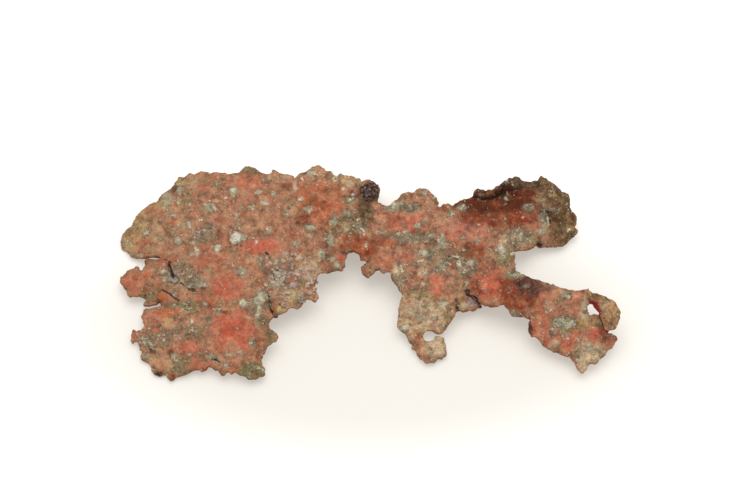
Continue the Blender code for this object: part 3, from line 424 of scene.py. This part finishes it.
# Mottling of the skin, in the order that it is laid: mineral, where it spreads, size of its features in
# millimetres, seed, detail, roughness, how the olive film draws it, where it starts, where it is full, share.
SKIN_MOTTLES = [
    ("tan", "bloom", 4.2, 13, 5, 0.62, 0, 0.49, 0.57, 0.65),
    ("olive", "film", 2.8, 14, 5, 0.65, 0, 0.52, 0.6, 0.9),
    ("rust", "bloom", 2.2, 2, 4, 0.6, 0, 0.49, 0.62, 0.6),
    ("blush", "bloom", 1.9, 5, 4, 0.6, 0, 0.5, 0.64, 0.5),
    ("shadow", "open skin", 2.0, 6, 5, 0.65, 0.16, 0.59, 0.72, 0.6),
    ("lichen", "open skin", 1.5, 9, 4, 0.65, 0.16, 0.58, 0.7, 0.55),
]
SKIN_SPECKS = [
    ("grey", "all", 0.8, 3, 3, 0.6, 0.1, 0.62, 0.74, 0.5),
    ("white", "all", 0.42, 4, 2, 0.5, 0.06, 0.66, 0.78, 0.45),
    ("dark", "open skin", 0.6, 7, 3, 0.5, 0.06, 0.6, 0.72, 0.5),
]

# Chalk on the skin, and the dark ring round it: size, seed, detail and roughness, how the olive film and
# proud places draw it, where ring and chalk start and end, and their shares.
CHALK = (1.3 * MM, 11, 4, 0.65)
CHALK_BY_FILM, CHALK_BY_HEIGHT = 0.14, 0.2
RING_STARTS, CHALK_STARTS, RING_ENDS, CHALK_FULL = 0.6, 0.65, 0.71, 0.76
RING_SHARE, CHALK_SHARE = 0.4, 0.75

# Dark veins, where the pattern crosses a level, and the regions that they keep to.
VEINS, VEIN_LEVEL, VEIN_HALF, VEIN_SHARE = (2.2 * MM, 10, 4, 0.6), 0.5, 0.03, 0.5
VEIN_REGIONS, VEIN_REGIONS_SHOW = (4.5 * MM, 1), (0.42, 0.6)

# Painted shade in creases, in millimetres below the skin, and painted black shade in cracks: where they start
# and are full, and their shares.
CREASES_SHOW, CREASE_SHADE_SHARE = (0.03, 0.2), 0.6
CRACKS_SHOW, CRACK_SHADE_SHARE = (0.3, 0.9), 0.9

# Light and dark over the whole skin: how much it swings, how much more where rugged, and the shade there.
TONES, TONE_SWING, RUGGED_SWING, RUGGED_SHADE = (2.4 * MM, 12, 6, 0.72), 1.7, 0.9, 0.04

# The open skin, where spots and veins show: its least share, the film that opens it, what crust takes away.
OPEN_LEAST, OPEN_BY_FILM, LOST_UNDER_CRUST = 0.25, (0.1, 0.45), 0.7

# Surface of the skin: roughness when bare, and what crust and rust add; metal and gloss; what raises it.
BARE_ROUGHNESS, BY_CRUST, BY_RUST = 0.6, 0.25, 0.3
SKIN_METAL, SKIN_GLOSS = 0.1, 0.14
FINE_GRAIN = (0.22 * MM, 8, 3, 0.65)
RAISED_BY = {"grey": 0.6, "white": 0.5, "grain": 0.35}
RAISED_DEPTH, RAISED_STRENGTH = 0.14 * MM, 0.9

# Finishes of the small pieces: the mineral underneath, its mottles as above, roughness, how much the last
# mottle adds to that, and gloss.
SMALL_FINISHES = {
    # From cream to mint.
    "chalky_carbonate": ("pale", [
        ("green", "all", 1.2, 31, 3, 0.5, 0, 0.42, 0.6, 1),
        ("grey", "all", 0.5, 32, 3, 0.5, 0, 0.52, 0.66, 0.6),
    ], 0.75, 0.15, 0.2),
    # Purple-brown with a dull gloss: oxide on the knob's crystals, and painted shade in the pockets and the
    # slit.
    "dark_oxide": ("dark", [
        ("maroon", "all", 0.9, 33, 3, 0.5, 0, 0.4, 0.6, 1),
        ("mauve", "all", 0.6, 34, 3, 0.5, 0, 0.52, 0.66, 0.55),
    ], 0.3, 0.4, 0.4),
    "black_oxide": ("black", [
        ("dark", "all", 1.1, 37, 3, 0.5, 0, 0.42, 0.62, 1),
    ], 0.6, 0.2, 0.2),
    # Bare metal down in the tear.
    "tear_grey": ("grey", [
        ("mauve", "all", 1.4, 38, 4, 0.5, 0, 0.44, 0.6, 1),
        ("shadow", "all", 0.9, 39, 3, 0.5, 0, 0.5, 0.64, 0.6),
    ], 0.55, 0.3, 0.2),
    "flaking_scale": ("umber", [
        ("mauve", "all", 1.4, 35, 6, 0.65, 0, 0.4, 0.5, 1),
        ("cream", "all", 1.4, 35, 6, 0.65, 0, 0.52, 0.62, 1),
        ("shadow", "all", 1.0, 36, 4, 0.5, 0, 0.54, 0.66, 0.5),
    ], 0.7, 0.2, 0.2),
}

# What is scattered over the skin: the carried value that it grows by, its finish, its shape and its numbers.
SCATTERED = {
    # Carbonate grains that stand up from the crust.
    "chalk_grains": (
        "grown", "chalky_carbonate",
        ("GeometryNodeMeshUVSphere", None, {"Segments": 6, "Rings": 4, "Radius": 1.0}),
        {"Per square metre": 3.2e6, "Smallest": 0.07 * MM, "Largest": 0.2 * MM, "Lean": 0.6, "Seed": 5},
    ),
    # Blocky oxide crystals on the knob.
    "knob_crystals": (
        "crystalline", "dark_oxide",
        ("GeometryNodeMeshCube", None, {"Size": (1, 1, 1)}),
        {"Per square metre": 4e6, "Smallest": 0.3 * MM, "Largest": 0.75 * MM, "Lean": 0.9, "Seed": 8},
    ),
    # Thin scales that lift off the skin.
    "skin_flakes": (
        "flaking", "flaking_scale",
        ("GeometryNodeMeshCylinder", None, {"Vertices": 5, "Radius": 0.5, "Depth": 0.14}),
        {"Per square metre": 0.55e6, "Smallest": 0.6 * MM, "Largest": 1.6 * MM, "Lean": 0.2, "Seed": 11},
    ),
}

# Where oxide crystals stand and where the skin flakes, as patches with their soft edges.
KNOB, KNOB_EDGE = (369.6, 191.4, 8.2, 8.8, 1), 0.12
FLAKING, FLAKING_EDGE = (290, 278, 27, 24, 1), 0.3

# The splinter that leans into the tear: its root and its tip, how far the tip hangs below the root, its half
# width in squares, its thickness, its girth along its length, and how near its root the height is taken.
SPLINTER = {
    "root": (168.6, 261), "tip": (173.4, 278), "hangs": 0.1 * MM, "half width": 1.7, "thickness": 0.35 * MM,
    "girths": ((0, 0.45), (0.45, 0.5), (0.8, 1), (1, 0.35)), "near": 2.5,
}

# Rough lumps down in the tear, the pockets and the slit; the dark lumps in the pockets and the slit are
# painted shade down in them: name: finish, half width and half height in squares, places of the lumps.
FILLS = {
    "flap_pocket": ("dark_oxide", 3.2, 2.9, [(468.6, 293)]),
    "flap_slit": ("dark_oxide", 1.9, 1.5, [
        (472, 296), (474.4, 297.4), (476.4, 299.2), (478, 301.2), (479.6, 303.6),
    ]),
    "left_pocket": ("dark_oxide", 3.2, 1.3, [(192, 290.6)]),
    "tear_bed": ("tear_grey", 4.6, 4.2, [(171, 270), (171, 275), (171.4, 280), (175.4, 280.4)]),
}
FILL_NEAR = 6  # squares within which the skin's height is taken
FILL_SINK = 0.35  # half heights by which a lump lies below the skin
FILL_DEEPEST = 2.6  # most that a lump reaches down, in squares
FILL_UNEVENNESS, FILL_WAVES = 0.25, 1.7  # share by which a lump is uneven, and how often


def to_light(colour, share=1 / BRIGHTNESS):
    """An eight-bit colour as the share of the light that the surface sends back."""
    value = np.array(colour) / 255
    return np.where(value <= 0.04045, value / 12.92, ((value + 0.055) / 1.055) ** 2.4) * share


def mineral(name):
    """A mineral's colour for a socket."""
    return (*to_light(MINERALS[name][0]), 1)


def place_on_drawing(points):
    """(U, V) of points in space, as the eye point sees them."""
    eye = np.array(DRAWING_MIDDLE) + np.array([0, -COSINE, SINE]) * EYE_DISTANCE
    sight = points - eye
    depth = sight @ np.array([0, COSINE, -SINE])
    scale = EYE_DISTANCE / SQUARE / depth
    across = sight[:, 0] * scale
    up = sight @ np.array([0, SINE, COSINE]) * scale
    return np.column_stack([MIDDLE_U + across, MIDDLE_V - up])


def at_height(place, height):
    """The point at this height that the eye point sees at a place on the drawing."""
    across = (place[0] - MIDDLE_U) * SQUARE
    up = (MIDDLE_V - place[1]) * SQUARE
    sight = Vector((across, up * SINE, up * COSINE)) + DRAWING_MIDDLE - EYE
    return EYE + sight * ((height - EYE.z) / sight.z)


def smooth(share):
    """The same share from 0 to 1, with its corners rounded off."""
    share = np.clip(share, 0, 1)
    return share * share * (3 - 2 * share)


def rise(values, start, over):
    """0 below the start, 1 once past it by this much, smooth between them."""
    return smooth((values - start) / over)


def swirl(points, size, seed):
    """Smooth noise, about -0.8 to 0.8, with features of this size in the points' own unit."""
    shifted = points / size + seed * SEED_STEP
    return np.array([noise.noise(Vector(p)) for p in shifted])


def waves(points, size, seed, height):
    """Smooth noise of this size, scaled to this height."""
    return swirl(points, size, seed) * height


def distance_to_line(places, line):
    """How far each place lies from a line of straight stretches."""
    starts, ends = np.array(line[:-1], float), np.array(line[1:], float)
    nearest = np.full(len(places), np.inf)
    for start, end in zip(starts, ends):
        run = end - start
        share = np.clip((places - start) @ run / (run @ run), 0, 1)
        nearest = np.minimum(nearest, np.linalg.norm(places - start - share[:, None] * run, axis=1))
    return nearest


def cover(places, patch, edge):
    """How much a patch covers each place: 1 inside, 0 outside, with an edge this soft."""
    u, v, across, down, share = patch
    away = np.hypot((places[:, 0] - u) / across, (places[:, 1] - v) / down)
    return share * smooth((1 + edge - away) / (2 * edge))


def finer_sheet():
    """A copy of the solid sheet with its corners merged and its faces divided and rounded off."""
    form = bmesh.new()
    form.from_mesh(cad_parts[SHEET].data)
    bmesh.ops.remove_doubles(form, verts=form.verts, dist=1e-6)
    for _ in range(SKIN_ROUNDS):
        bmesh.ops.subdivide_edges(form, edges=form.edges, cuts=1, use_grid_fill=True)
        bmesh.ops.triangulate(form, faces=form.faces)
        bmesh.ops.smooth_vert(
            form, verts=form.verts, factor=SKIN_SOFTNESS, use_axis_x=True, use_axis_y=True, use_axis_z=True
        )
    mesh = bpy.data.meshes.new("nugget_skin")
    form.to_mesh(mesh)
    form.free()
    return mesh


def read(mesh, what):
    """The mesh's corners ("co") or normals ("normal") as an array of rows of three."""
    source, slot = (mesh.vertices, "co") if what == "co" else (mesh.vertex_normals, "vector")
    values = np.empty(len(mesh.vertices) * 3)
    source.foreach_get(slot, values)
    return values.reshape(-1, 3)


def write_inside(mesh, points):
    """Moves the mesh's corners to these points, kept inside the box of the solid."""
    low, high = np.array(CAD_BOX[0]), np.array(CAD_BOX[1])
    mesh.vertices.foreach_set("co", np.clip(points, low, high).ravel())
    mesh.update()


def carry(mesh, name, values, kind="FLOAT"):
    """Stores values on the mesh's corners under this name."""
    layer = mesh.attributes.new(name, kind, "POINT")
    slots = {"FLOAT_COLOR": "color", "FLOAT_VECTOR": "vector", "FLOAT": "value"}
    layer.data.foreach_set(slots[kind], np.ravel(values))


def stand(name, mesh, material=None):
    """Puts a mesh, a lamp or a lens in the scene as an object, with its material if it has one."""
    if material:
        mesh.materials.append(material)
    piece = bpy.data.objects.new(name, mesh)
    bpy.context.scene.collection.objects.link(piece)
    return piece


def belongs(piece):
    """Marks a piece as part of the nugget."""
    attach(piece, "root")
    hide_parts(SHEET)


def proudness(mesh):
    """How far each corner stands above the skin round it, in millimetres: below 0 in creases."""
    points = read(mesh, "co")
    ends = np.empty(len(mesh.edges) * 2, int)
    mesh.edges.foreach_get("vertices", ends)
    here, there = ends.reshape(-1, 2).T
    here, there = np.concatenate([here, there]), np.concatenate([there, here])
    count = np.bincount(here, minlength=len(points))[:, None]
    level = points
    for _ in range(PROUD_ROUNDS):
        sums = [np.bincount(here, level[there, axis], len(points)) for axis in range(3)]
        level = (level + np.column_stack(sums) / count) / 2
    return ((points - level) * read(mesh, "normal")).sum(axis=1) / MM


def roughen(mesh):
    """Gives the skin its lumps, flakes, cracks and torn rim, and returns what covers it."""
    points, normals = read(mesh, "co"), read(mesh, "normal")
    flat = points / MM
    places = place_on_drawing(points)
    wander = np.zeros((len(points), 2))
    for size, seeds, reach in WANDER:
        wander += np.column_stack([swirl(flat, size, seed) for seed in seeds]) * reach
    torn = places + wander
    upward = normals[:, 2]
    top = rise(upward, *FACES_UP)
    side = rise(-upward, *LEANS_OVER) * rise(upward, *NOT_UNDER)
    rim = rise(-np.abs(upward), *STEEP)
    crust = np.zeros(len(points))
    for patches in CRUSTS_AND_GLINTS.values():
        for patch in patches:
            crust = np.maximum(crust, cover(torn, patch, CRUST_EDGE))
    spots = rise(swirl(flat, *SPOTS), *SPOTS_SHOW) * rise(swirl(flat, *REGIONS), *REGIONS_SHOW)
    crust = np.maximum(crust, SPOTS_SHARE * spots)
    # Cracks and the walls of closed slits are marked here for painted black shade.
    crack = np.zeros(len(points))
    lift = np.zeros(len(points))
    for half_width, depth, line in CRACKS:
        cut = smooth(CRACK_EDGE - distance_to_line(places + wander * CRACK_WANDER, line) / half_width)
        crack = np.maximum(crack, cut)
        lift = np.minimum(lift, -cut * depth)
    for bulge, line in SEAMS:
        wall = smooth(SEAM_EDGE - distance_to_line(places, line) / SEAM_REACH) * side
        crack = np.maximum(crack, wall)
        lift = np.maximum(lift, wall * bulge)
    for nodule in NODULES:
        lift += cover(torn, nodule, NODULE_EDGE) * top
    for bulge, sink in zip(BULGES, BULGES_SINK):
        lift += np.abs(waves(flat, *bulge)) - sink
    lift += waves(flat, *PIMPLES)
    lift += rim * (waves(flat, *RIM_TEARS[0]) + waves(flat, *RIM_TEARS[1]))
    lift += crust * (CRUST_HEIGHT + waves(flat, *CRUST_GRAIN))
    lift *= FOOT_SHARE + (1 - FOOT_SHARE) * smooth(points[:, 2] / MM / FOOT_REACH)
    write_inside(mesh, points + normals * lift[:, None] * MM)
    return {"places": places, "torn": torn, "crust": crust, "crack": crack, "top": top, "side": side}


def crust_halo(torn):
    """How much the dark ring round the patches of crust, partly dirt and partly painted shade, covers each
    place.
    """
    halo = np.zeros(len(torn))
    for patches in CRUSTS_AND_GLINTS.values():
        for u, v, across, down, share in patches:
            ring = (u, v + HALO["drop"], across * HALO["growth"], down * HALO["growth"], share)
            halo = np.maximum(halo, cover(torn, ring, HALO["edge"]))
    return halo


def paint(mesh, cover_maps):
    """Lays the minerals over one another as colours on the skin, with painted shade round the crust and on
    the rim's walls, and what is carried by the shape.
    """
    points = read(mesh, "co")
    flat = points / MM
    places, torn, crust, crack, top, side = (
        cover_maps[name] for name in ("places", "torn", "crust", "crack", "top", "side")
    )
    tint, film_there, bloom_there = MINERALS[GROUND]
    colour = np.tile(to_light(tint), (len(points), 1))
    film, bloom = np.full(len(points), film_there), np.full(len(points), bloom_there)
    for number, (layer, edge, (level, by_broad, by_small)) in enumerate(LAYERS):
        broad, small = (swirl(flat, size, seed + number) for size, seed in BLOTCHES)
        blotch = (level + by_broad * broad + by_small * small) * (FIELD_STRENGTH if layer is FIELDS else top)
        for name, patches in layer.items():
            tint, film_there, bloom_there = MINERALS[name]
            for patch in patches:
                share = np.clip(cover(torn, patch, edge) * blotch, 0, 1)
                colour += (to_light(tint) - colour) * share[:, None]
                film += (film_there - film) * share
                bloom += (bloom_there - bloom) * share
        # Partly dirt and partly painted shade: a darker ring round the crust, set a little lower on the
        # drawing.
        if layer is PATCHES:
            share = HALO["share"] * crust_halo(torn) * top
            colour += (to_light(MINERALS["umber"][0], HALO["light"]) - colour) * share[:, None]
            film += (HALO["film"] - film) * share
    # Painted shade on the rim's walls that face sideways and down.
    colour += (to_light(MINERALS["shadow"][0]) - colour) * (RIM_PAINTED_SHADE * side)[:, None]
    carry(mesh, "minerals", np.column_stack([colour, np.ones(len(points))]), "FLOAT_COLOR")
    grain = np.column_stack([places * SQUARE, points[:, 2] * GRAIN_RISE + side * GRAIN_SIDE])
    carry(mesh, "grain", grain, "FLOAT_VECTOR")
    shares = {
        "film": film, "bloom": bloom, "crust": crust, "crack": crack, "proud": proudness(mesh),
        "rugged": rise(places[:, 0], *RUGGED), "grown": crust * top,
        "crystalline": cover(places, KNOB, KNOB_EDGE) * top,
        "flaking": cover(torn, FLAKING, FLAKING_EDGE) * top,
    }
    for name, values in shares.items():
        carry(mesh, name, values)


class Value:
    """A value in a node tree, so that its sums read as ordinary ones."""

    def __init__(self, tree, socket):
        self.tree, self.socket = tree, socket

    def sum(self, operation, *terms):
        """One Math node with these terms."""
        return self.tree.add("ShaderNodeMath", {"operation": operation}, dict(enumerate(terms)))

    def __add__(self, other):
        return self.sum("ADD", self, other)

    def __sub__(self, other):
        return self.sum("SUBTRACT", self, other)

    def __rsub__(self, other):
        return self.sum("SUBTRACT", other, self)

    def __mul__(self, other):
        return self.sum("MULTIPLY", self, other)

    __radd__ = __add__
    __rmul__ = __mul__

    def above(self, low, high):
        """0 below low, 1 above high, smooth between them."""
        sockets = {"Value": self, "From Min": low, "From Max": high}
        return self.tree.add("ShaderNodeMapRange", {"interpolation_type": "SMOOTHSTEP"}, sockets)


class Tree:
    """A node tree under construction."""

    def __init__(self, tree):
        self.tree = tree

    def add(self, kind, settings=None, sockets=None, out=0):
        """One node: its settings first, then the values or links of its sockets."""
        node = self.tree.nodes.new(kind)
        for name, setting in (settings or {}).items():
            setattr(node, name, setting)
        for name, value in (sockets or {}).items():
            self.plug(node.inputs[name], value)
        return Value(self, node.outputs[out])

    def plug(self, socket, value):
        """Links a value to a socket, or sets the socket to a number or colour."""
        if isinstance(value, Value):
            self.tree.links.new(value.socket, socket)
        else:
            socket.default_value = value


class Finish(Tree):
    """A material under construction."""

    def __init__(self, name):
        self.material = bpy.data.materials.new(name)
        self.material.use_nodes = True
        super().__init__(self.material.node_tree)
        self.surface = self.tree.nodes["Principled BSDF"]
        self.place = self.add("ShaderNodeTexCoord", out="Object")
        self.grain = self.place

    def noise(self, size, seed, detail=2, roughness=0.5):
        """Noise about 0.5 with features of this size in metres."""
        shift = tuple(seed * step for step in SEED_SHIFT)
        moved = self.add("ShaderNodeVectorMath", {"operation": "ADD"}, {0: self.grain, 1: shift})
        sockets = {"Vector": moved, "Scale": 1 / size, "Detail": detail, "Roughness": roughness}
        return self.add("ShaderNodeTexNoise", None, sockets)

    def mix(self, share, below, above):
        """One colour over another, by share."""
        return self.add("ShaderNodeMix", {"data_type": "RGBA"}, {0: share, 6: below, 7: above}, out=2)

    def scale(self, colour, share):
        """A colour made lighter or darker."""
        return self.add("ShaderNodeVectorMath", {"operation": "SCALE"}, {0: colour, 3: share})

    def mottle(self, colour, mottles, spread, film=0):
        """The colour with these mottles laid over it, and the noise of each by its mineral."""
        patterns = {}
        for name, where, size, seed, detail, roughness, draw, start, full, share in mottles:
            patterns[name] = self.noise(size * MM, seed, detail, roughness)
            reach = patterns[name] + draw * film if draw else patterns[name]
            colour = self.mix(reach.above(start, full) * spread[where] * share, colour, mineral(name))
        return colour, patterns

    def carried(self, name, out="Fac"):
        """What the mesh carries under this name."""
        return self.add("ShaderNodeAttribute", {"attribute_name": name}, out=out)

    def bump(self, height, distance, strength):
        """The surface's normal, as this height tilts it."""
        sockets = {"Height": height, "Distance": distance, "Strength": strength}
        return self.add("ShaderNodeBump", None, sockets, out="Normal")

    def set(self, sockets):
        """Gives the surface these values."""
        for name, value in sockets.items():
            self.plug(self.surface.inputs[name], value)


def skin_finish():
    """Oxidised copper: mottled salmon and rust under olive film, chalky green flecks, painted shade in
    creases, and cracks painted black as shade.
    """
    finish = Finish("weathered_copper")
    finish.grain = finish.carried("grain", out="Vector")
    film, bloom, crust = finish.carried("film"), finish.carried("bloom"), finish.carried("crust")
    crack, proud, rugged = finish.carried("crack"), finish.carried("proud"), finish.carried("rugged")
    bare = 1 - crust
    filmed = OPEN_LEAST + (1 - OPEN_LEAST) * film.above(*OPEN_BY_FILM)
    open_skin = (1 - LOST_UNDER_CRUST * crust) * filmed
    spread = {"bloom": bare * bloom, "film": bare * film, "open skin": open_skin, "all": 1}
    colour = finish.carried("minerals", out="Color")
    colour, mottles = finish.mottle(colour, SKIN_MOTTLES, spread, film)

    chalk = finish.noise(*CHALK) + CHALK_BY_FILM * film + CHALK_BY_HEIGHT * proud
    ring = chalk.above(RING_STARTS, CHALK_STARTS) - chalk.above(CHALK_STARTS, RING_ENDS)
    colour = finish.mix(ring * RING_SHARE, colour, mineral("shadow"))
    colour = finish.mix(chalk.above(CHALK_STARTS, CHALK_FULL) * CHALK_SHARE, colour, mineral("pale"))
    colour, specks = finish.mottle(colour, SKIN_SPECKS, spread, film)

    vein = finish.noise(*VEINS)
    line = vein.above(VEIN_LEVEL - VEIN_HALF, VEIN_LEVEL) - vein.above(VEIN_LEVEL, VEIN_LEVEL + VEIN_HALF)
    veined = finish.noise(*VEIN_REGIONS).above(*VEIN_REGIONS_SHOW) * open_skin
    colour = finish.mix(line * veined * VEIN_SHARE, colour, mineral("dark"))
    # Painted shade: creases, where the skin lies below what is round it, are darkened.
    colour = finish.mix((0 - proud).above(*CREASES_SHOW) * CREASE_SHADE_SHARE, colour, mineral("dark"))
    # Painted shade: cracks and the walls of closed slits are made black.
    colour = finish.mix(crack.above(*CRACKS_SHOW) * CRACK_SHADE_SHARE, colour, mineral("black"))
    tone = (finish.noise(*TONES) - 0.5) * (TONE_SWING + RUGGED_SWING * rugged)
    colour = finish.scale(colour, 1 + tone - RUGGED_SHADE * rugged)

    roughness = BARE_ROUGHNESS + BY_CRUST * crust + BY_RUST * (mottles["rust"] - 0.5)
    relief = RAISED_BY["grey"] * specks["grey"] + RAISED_BY["white"] * specks["white"]
    relief = relief + RAISED_BY["grain"] * finish.noise(*FINE_GRAIN)
    finish.set({"Base Color": colour, "Roughness": roughness, "Metallic": bare * SKIN_METAL})
    normal = finish.bump(relief, RAISED_DEPTH, RAISED_STRENGTH)
    finish.set({"Normal": normal, "Specular IOR Level": SKIN_GLOSS})
    return finish.material


def small_finish(name):
    """The finish of a small piece, made once."""
    if name in bpy.data.materials:
        return bpy.data.materials[name]
    finish = Finish(name)
    ground, mottles, roughness, by_mottle, gloss = SMALL_FINISHES[name]
    colour, patterns = finish.mottle(mineral(ground), mottles, {"all": 1})
    last = patterns[mottles[-1][0]]
    finish.set({"Base Color": colour, "Roughness": roughness + by_mottle * last, "Specular IOR Level": gloss})
    return finish.material


def nugget_skin():
    """The whole visible nugget, in place of the plain solid."""
    mesh = finer_sheet()
    paint(mesh, roughen(mesh))
    mesh.shade_smooth()
    skin = stand("nugget_skin", mesh, skin_finish())
    belongs(skin)
    return skin


def scatter(name, skin, carried, finish, shape, numbers):
    """Sets one shape over the skin where a carried value is high, as one plain mesh."""
    tree = Tree(bpy.data.node_groups.new(name, "GeometryNodeTree"))
    ports = tree.tree.interface
    ports.new_socket(name="Skin", in_out="INPUT", socket_type="NodeSocketGeometry")
    keys = {}
    for label, number in numbers.items():
        kind = "NodeSocketInt" if isinstance(number, int) else "NodeSocketFloat"
        keys[label] = ports.new_socket(name=label, in_out="INPUT", socket_type=kind).identifier
    ports.new_socket(name="Pieces", in_out="OUTPUT", socket_type="NodeSocketGeometry")
    given = {label: tree.add("NodeGroupInput", out=label) for label in ("Skin", *numbers)}
    sockets = {"Name": carried}
    share = tree.add("GeometryNodeInputNamedAttribute", {"data_type": "FLOAT"}, sockets, out="Attribute")
    sockets = {"Mesh": given["Skin"], "Density": share * given["Per square metre"], "Seed": given["Seed"]}
    settings = {"distribute_method": "RANDOM"}
    points = tree.add("GeometryNodeDistributePointsOnFaces", settings, sockets, out="Points")
    sockets = {2: given["Smallest"], 3: given["Largest"], "Seed": given["Seed"]}
    size = tree.add("FunctionNodeRandomValue", {"data_type": "FLOAT"}, sockets, out=1)
    lean = given["Lean"]
    low = tree.add("ShaderNodeCombineXYZ", None, {"X": 0 - lean, "Y": 0 - lean, "Z": 0.0})
    high = tree.add("ShaderNodeCombineXYZ", None, {"X": lean, "Y": lean, "Z": math.tau})
    turn = tree.add("FunctionNodeRandomValue", {"data_type": "FLOAT_VECTOR"}, {0: low, 1: high})
    sockets = {"Points": points, "Instance": tree.add(*shape), "Rotation": turn, "Scale": size}
    pieces = tree.add("GeometryNodeInstanceOnPoints", None, sockets)
    pieces = tree.add("GeometryNodeRealizeInstances", None, {"Geometry": pieces})
    sockets = {"Geometry": pieces, "Material": small_finish(finish)}
    pieces = tree.add("GeometryNodeSetMaterial", None, sockets)
    ending = tree.tree.nodes.new("NodeGroupOutput")
    tree.plug(ending.inputs["Pieces"], pieces)
    bed = stand(name, skin.data)
    modifier = bed.modifiers.new(name, "NODES")
    modifier.node_group = tree.tree
    for label, number in numbers.items():
        modifier[keys[label]] = number
    evaluated = bed.evaluated_get(bpy.context.evaluated_depsgraph_get())
    mesh = bpy.data.meshes.new_from_object(evaluated)
    bed.modifiers.remove(modifier)
    bed.data = mesh
    write_inside(mesh, read(mesh, "co"))
    belongs(bed)


def tear_splinter(skin):
    """A dark splinter of metal leaning into the tear."""
    points = read(skin.data, "co")
    away = np.linalg.norm(place_on_drawing(points) - np.array(SPLINTER["root"]), axis=1)
    height = points[away < SPLINTER["near"]][:, 2].max()
    root, tip = at_height(SPLINTER["root"], height), at_height(SPLINTER["tip"], height - SPLINTER["hangs"])
    along = tip - root
    wide = along.cross(Vector((0, 0, 1))).normalized() * SPLINTER["half width"] * SQUARE
    thick = Vector((0, 0, SPLINTER["thickness"]))
    form = bmesh.new()
    rings = []
    for share, girth in SPLINTER["girths"]:
        middle = root + along * share
        corners = (middle + wide * girth, middle, middle - wide * girth, middle - thick * girth)
        rings.append([form.verts.new(corner) for corner in corners])
    for near, far in zip(rings[:-1], rings[1:]):
        for side in range(4):
            form.faces.new((near[side], near[side - 1], far[side - 1], far[side]))
    form.faces.new(rings[0])
    form.faces.new(rings[-1][::-1])
    bmesh.ops.recalc_face_normals(form, faces=form.faces)
    mesh = bpy.data.meshes.new("tear_splinter")
    form.to_mesh(mesh)
    form.free()
    belongs(stand("tear_splinter", mesh, small_finish("black_oxide")))


def fill(name, skin, finish, across, down, middles):
    """Rough lumps that fill a tear, a pocket or a slit, as one mesh; the dark ones in pockets and slits are
    painted shade.
    """
    points = read(skin.data, "co")
    places = place_on_drawing(points)
    form = bmesh.new()
    for place in middles:
        near = np.linalg.norm(places - np.array(place), axis=1) < FILL_NEAR
        middle = at_height(place, np.median(points[near][:, 2]) - FILL_SINK * down * SQUARE)
        lump = bmesh.ops.create_icosphere(form, subdivisions=3, radius=1)
        for corner in lump["verts"]:
            girth = 1 + FILL_UNEVENNESS * noise.noise(corner.co * FILL_WAVES + middle / MM)
            shape = Vector((corner.co.x * across, corner.co.y * down, corner.co.z * min(down, FILL_DEEPEST)))
            corner.co = middle + shape * girth * SQUARE
            corner.co.z = max(corner.co.z, CAD_BOX[0][2])
    mesh = bpy.data.meshes.new(name)
    form.to_mesh(mesh)
    form.free()
    belongs(stand(name, mesh, small_finish(finish)))


def table():
    """A pale table top that the nugget lies on, with painted shade round the nugget and a painted glow."""
    form = bmesh.new()
    bmesh.ops.create_grid(form, x_segments=1, y_segments=1, size=TABLE_HALF)
    mesh = bpy.data.meshes.new("table_top")
    form.to_mesh(mesh)
    form.free()
    finish = Finish("matt_table")
    moved = finish.add("ShaderNodeVectorMath", {"operation": "ADD"}, {0: finish.place, 1: SHADED_MIDDLE})
    wide = finish.add("ShaderNodeVectorMath", {"operation": "MULTIPLY"}, {0: moved, 1: SHADED_STRETCH})
    away = finish.add("ShaderNodeVectorMath", {"operation": "LENGTH"}, {0: wide}, out="Value")
    # Painted shade: the table's colour is darker and warmer near the nugget.
    colour = finish.mix(away.above(*TABLE_TURNS), TABLE_PAINTED_SHADE_NEAR, TABLE_FAR)
    finish.set({"Base Color": colour, "Roughness": 0.8, "Specular IOR Level": 0.1})
    # Painted glow: the table top sends out light of its own.
    finish.set({"Emission Color": TABLE_PAINTED_GLOW["colour"], "Emission Strength": TABLE_PAINTED_GLOW["strength"]})
    top = stand("table_top", mesh, finish.material)
    top.location.z = -TABLE_GAP


def lights():
    """A pale sky all round and one broad soft light above and a little behind."""
    world = bpy.data.worlds.new("soft_sky")
    world.use_nodes = True
    sky = world.node_tree.nodes["Background"].inputs
    sky["Color"].default_value = SKY["colour"]
    sky["Strength"].default_value = SKY["strength"]
    bpy.context.scene.world = world
    lamp = bpy.data.lights.new("soft_box", "AREA")
    lamp.size, lamp.energy = KEY_LIGHT["size"], KEY_LIGHT["power"]
    box = stand("soft_box", lamp)
    box.location = KEY_LIGHT["place"]
    box.rotation_euler = (-box.location).to_track_quat("-Z", "Y").to_euler()


def camera():
    """A long lens at the drawing's eye point."""
    lens = bpy.data.cameras.new("long_lens")
    lens.lens, lens.sensor_width = LENS, SENSOR
    eye = stand("long_lens", lens)
    eye.location = EYE
    eye.rotation_euler = (-TO_EYE).to_track_quat("-Z", "Y").to_euler()
    bpy.context.scene.camera = eye


skin = nugget_skin()
for name, recipe in SCATTERED.items():
    scatter(name, skin, *recipe)
tear_splinter(skin)
for name, lumps in FILLS.items():
    fill(name, skin, *lumps)
table()
lights()
camera()
bpy.context.scene.view_settings.view_transform = "Standard"
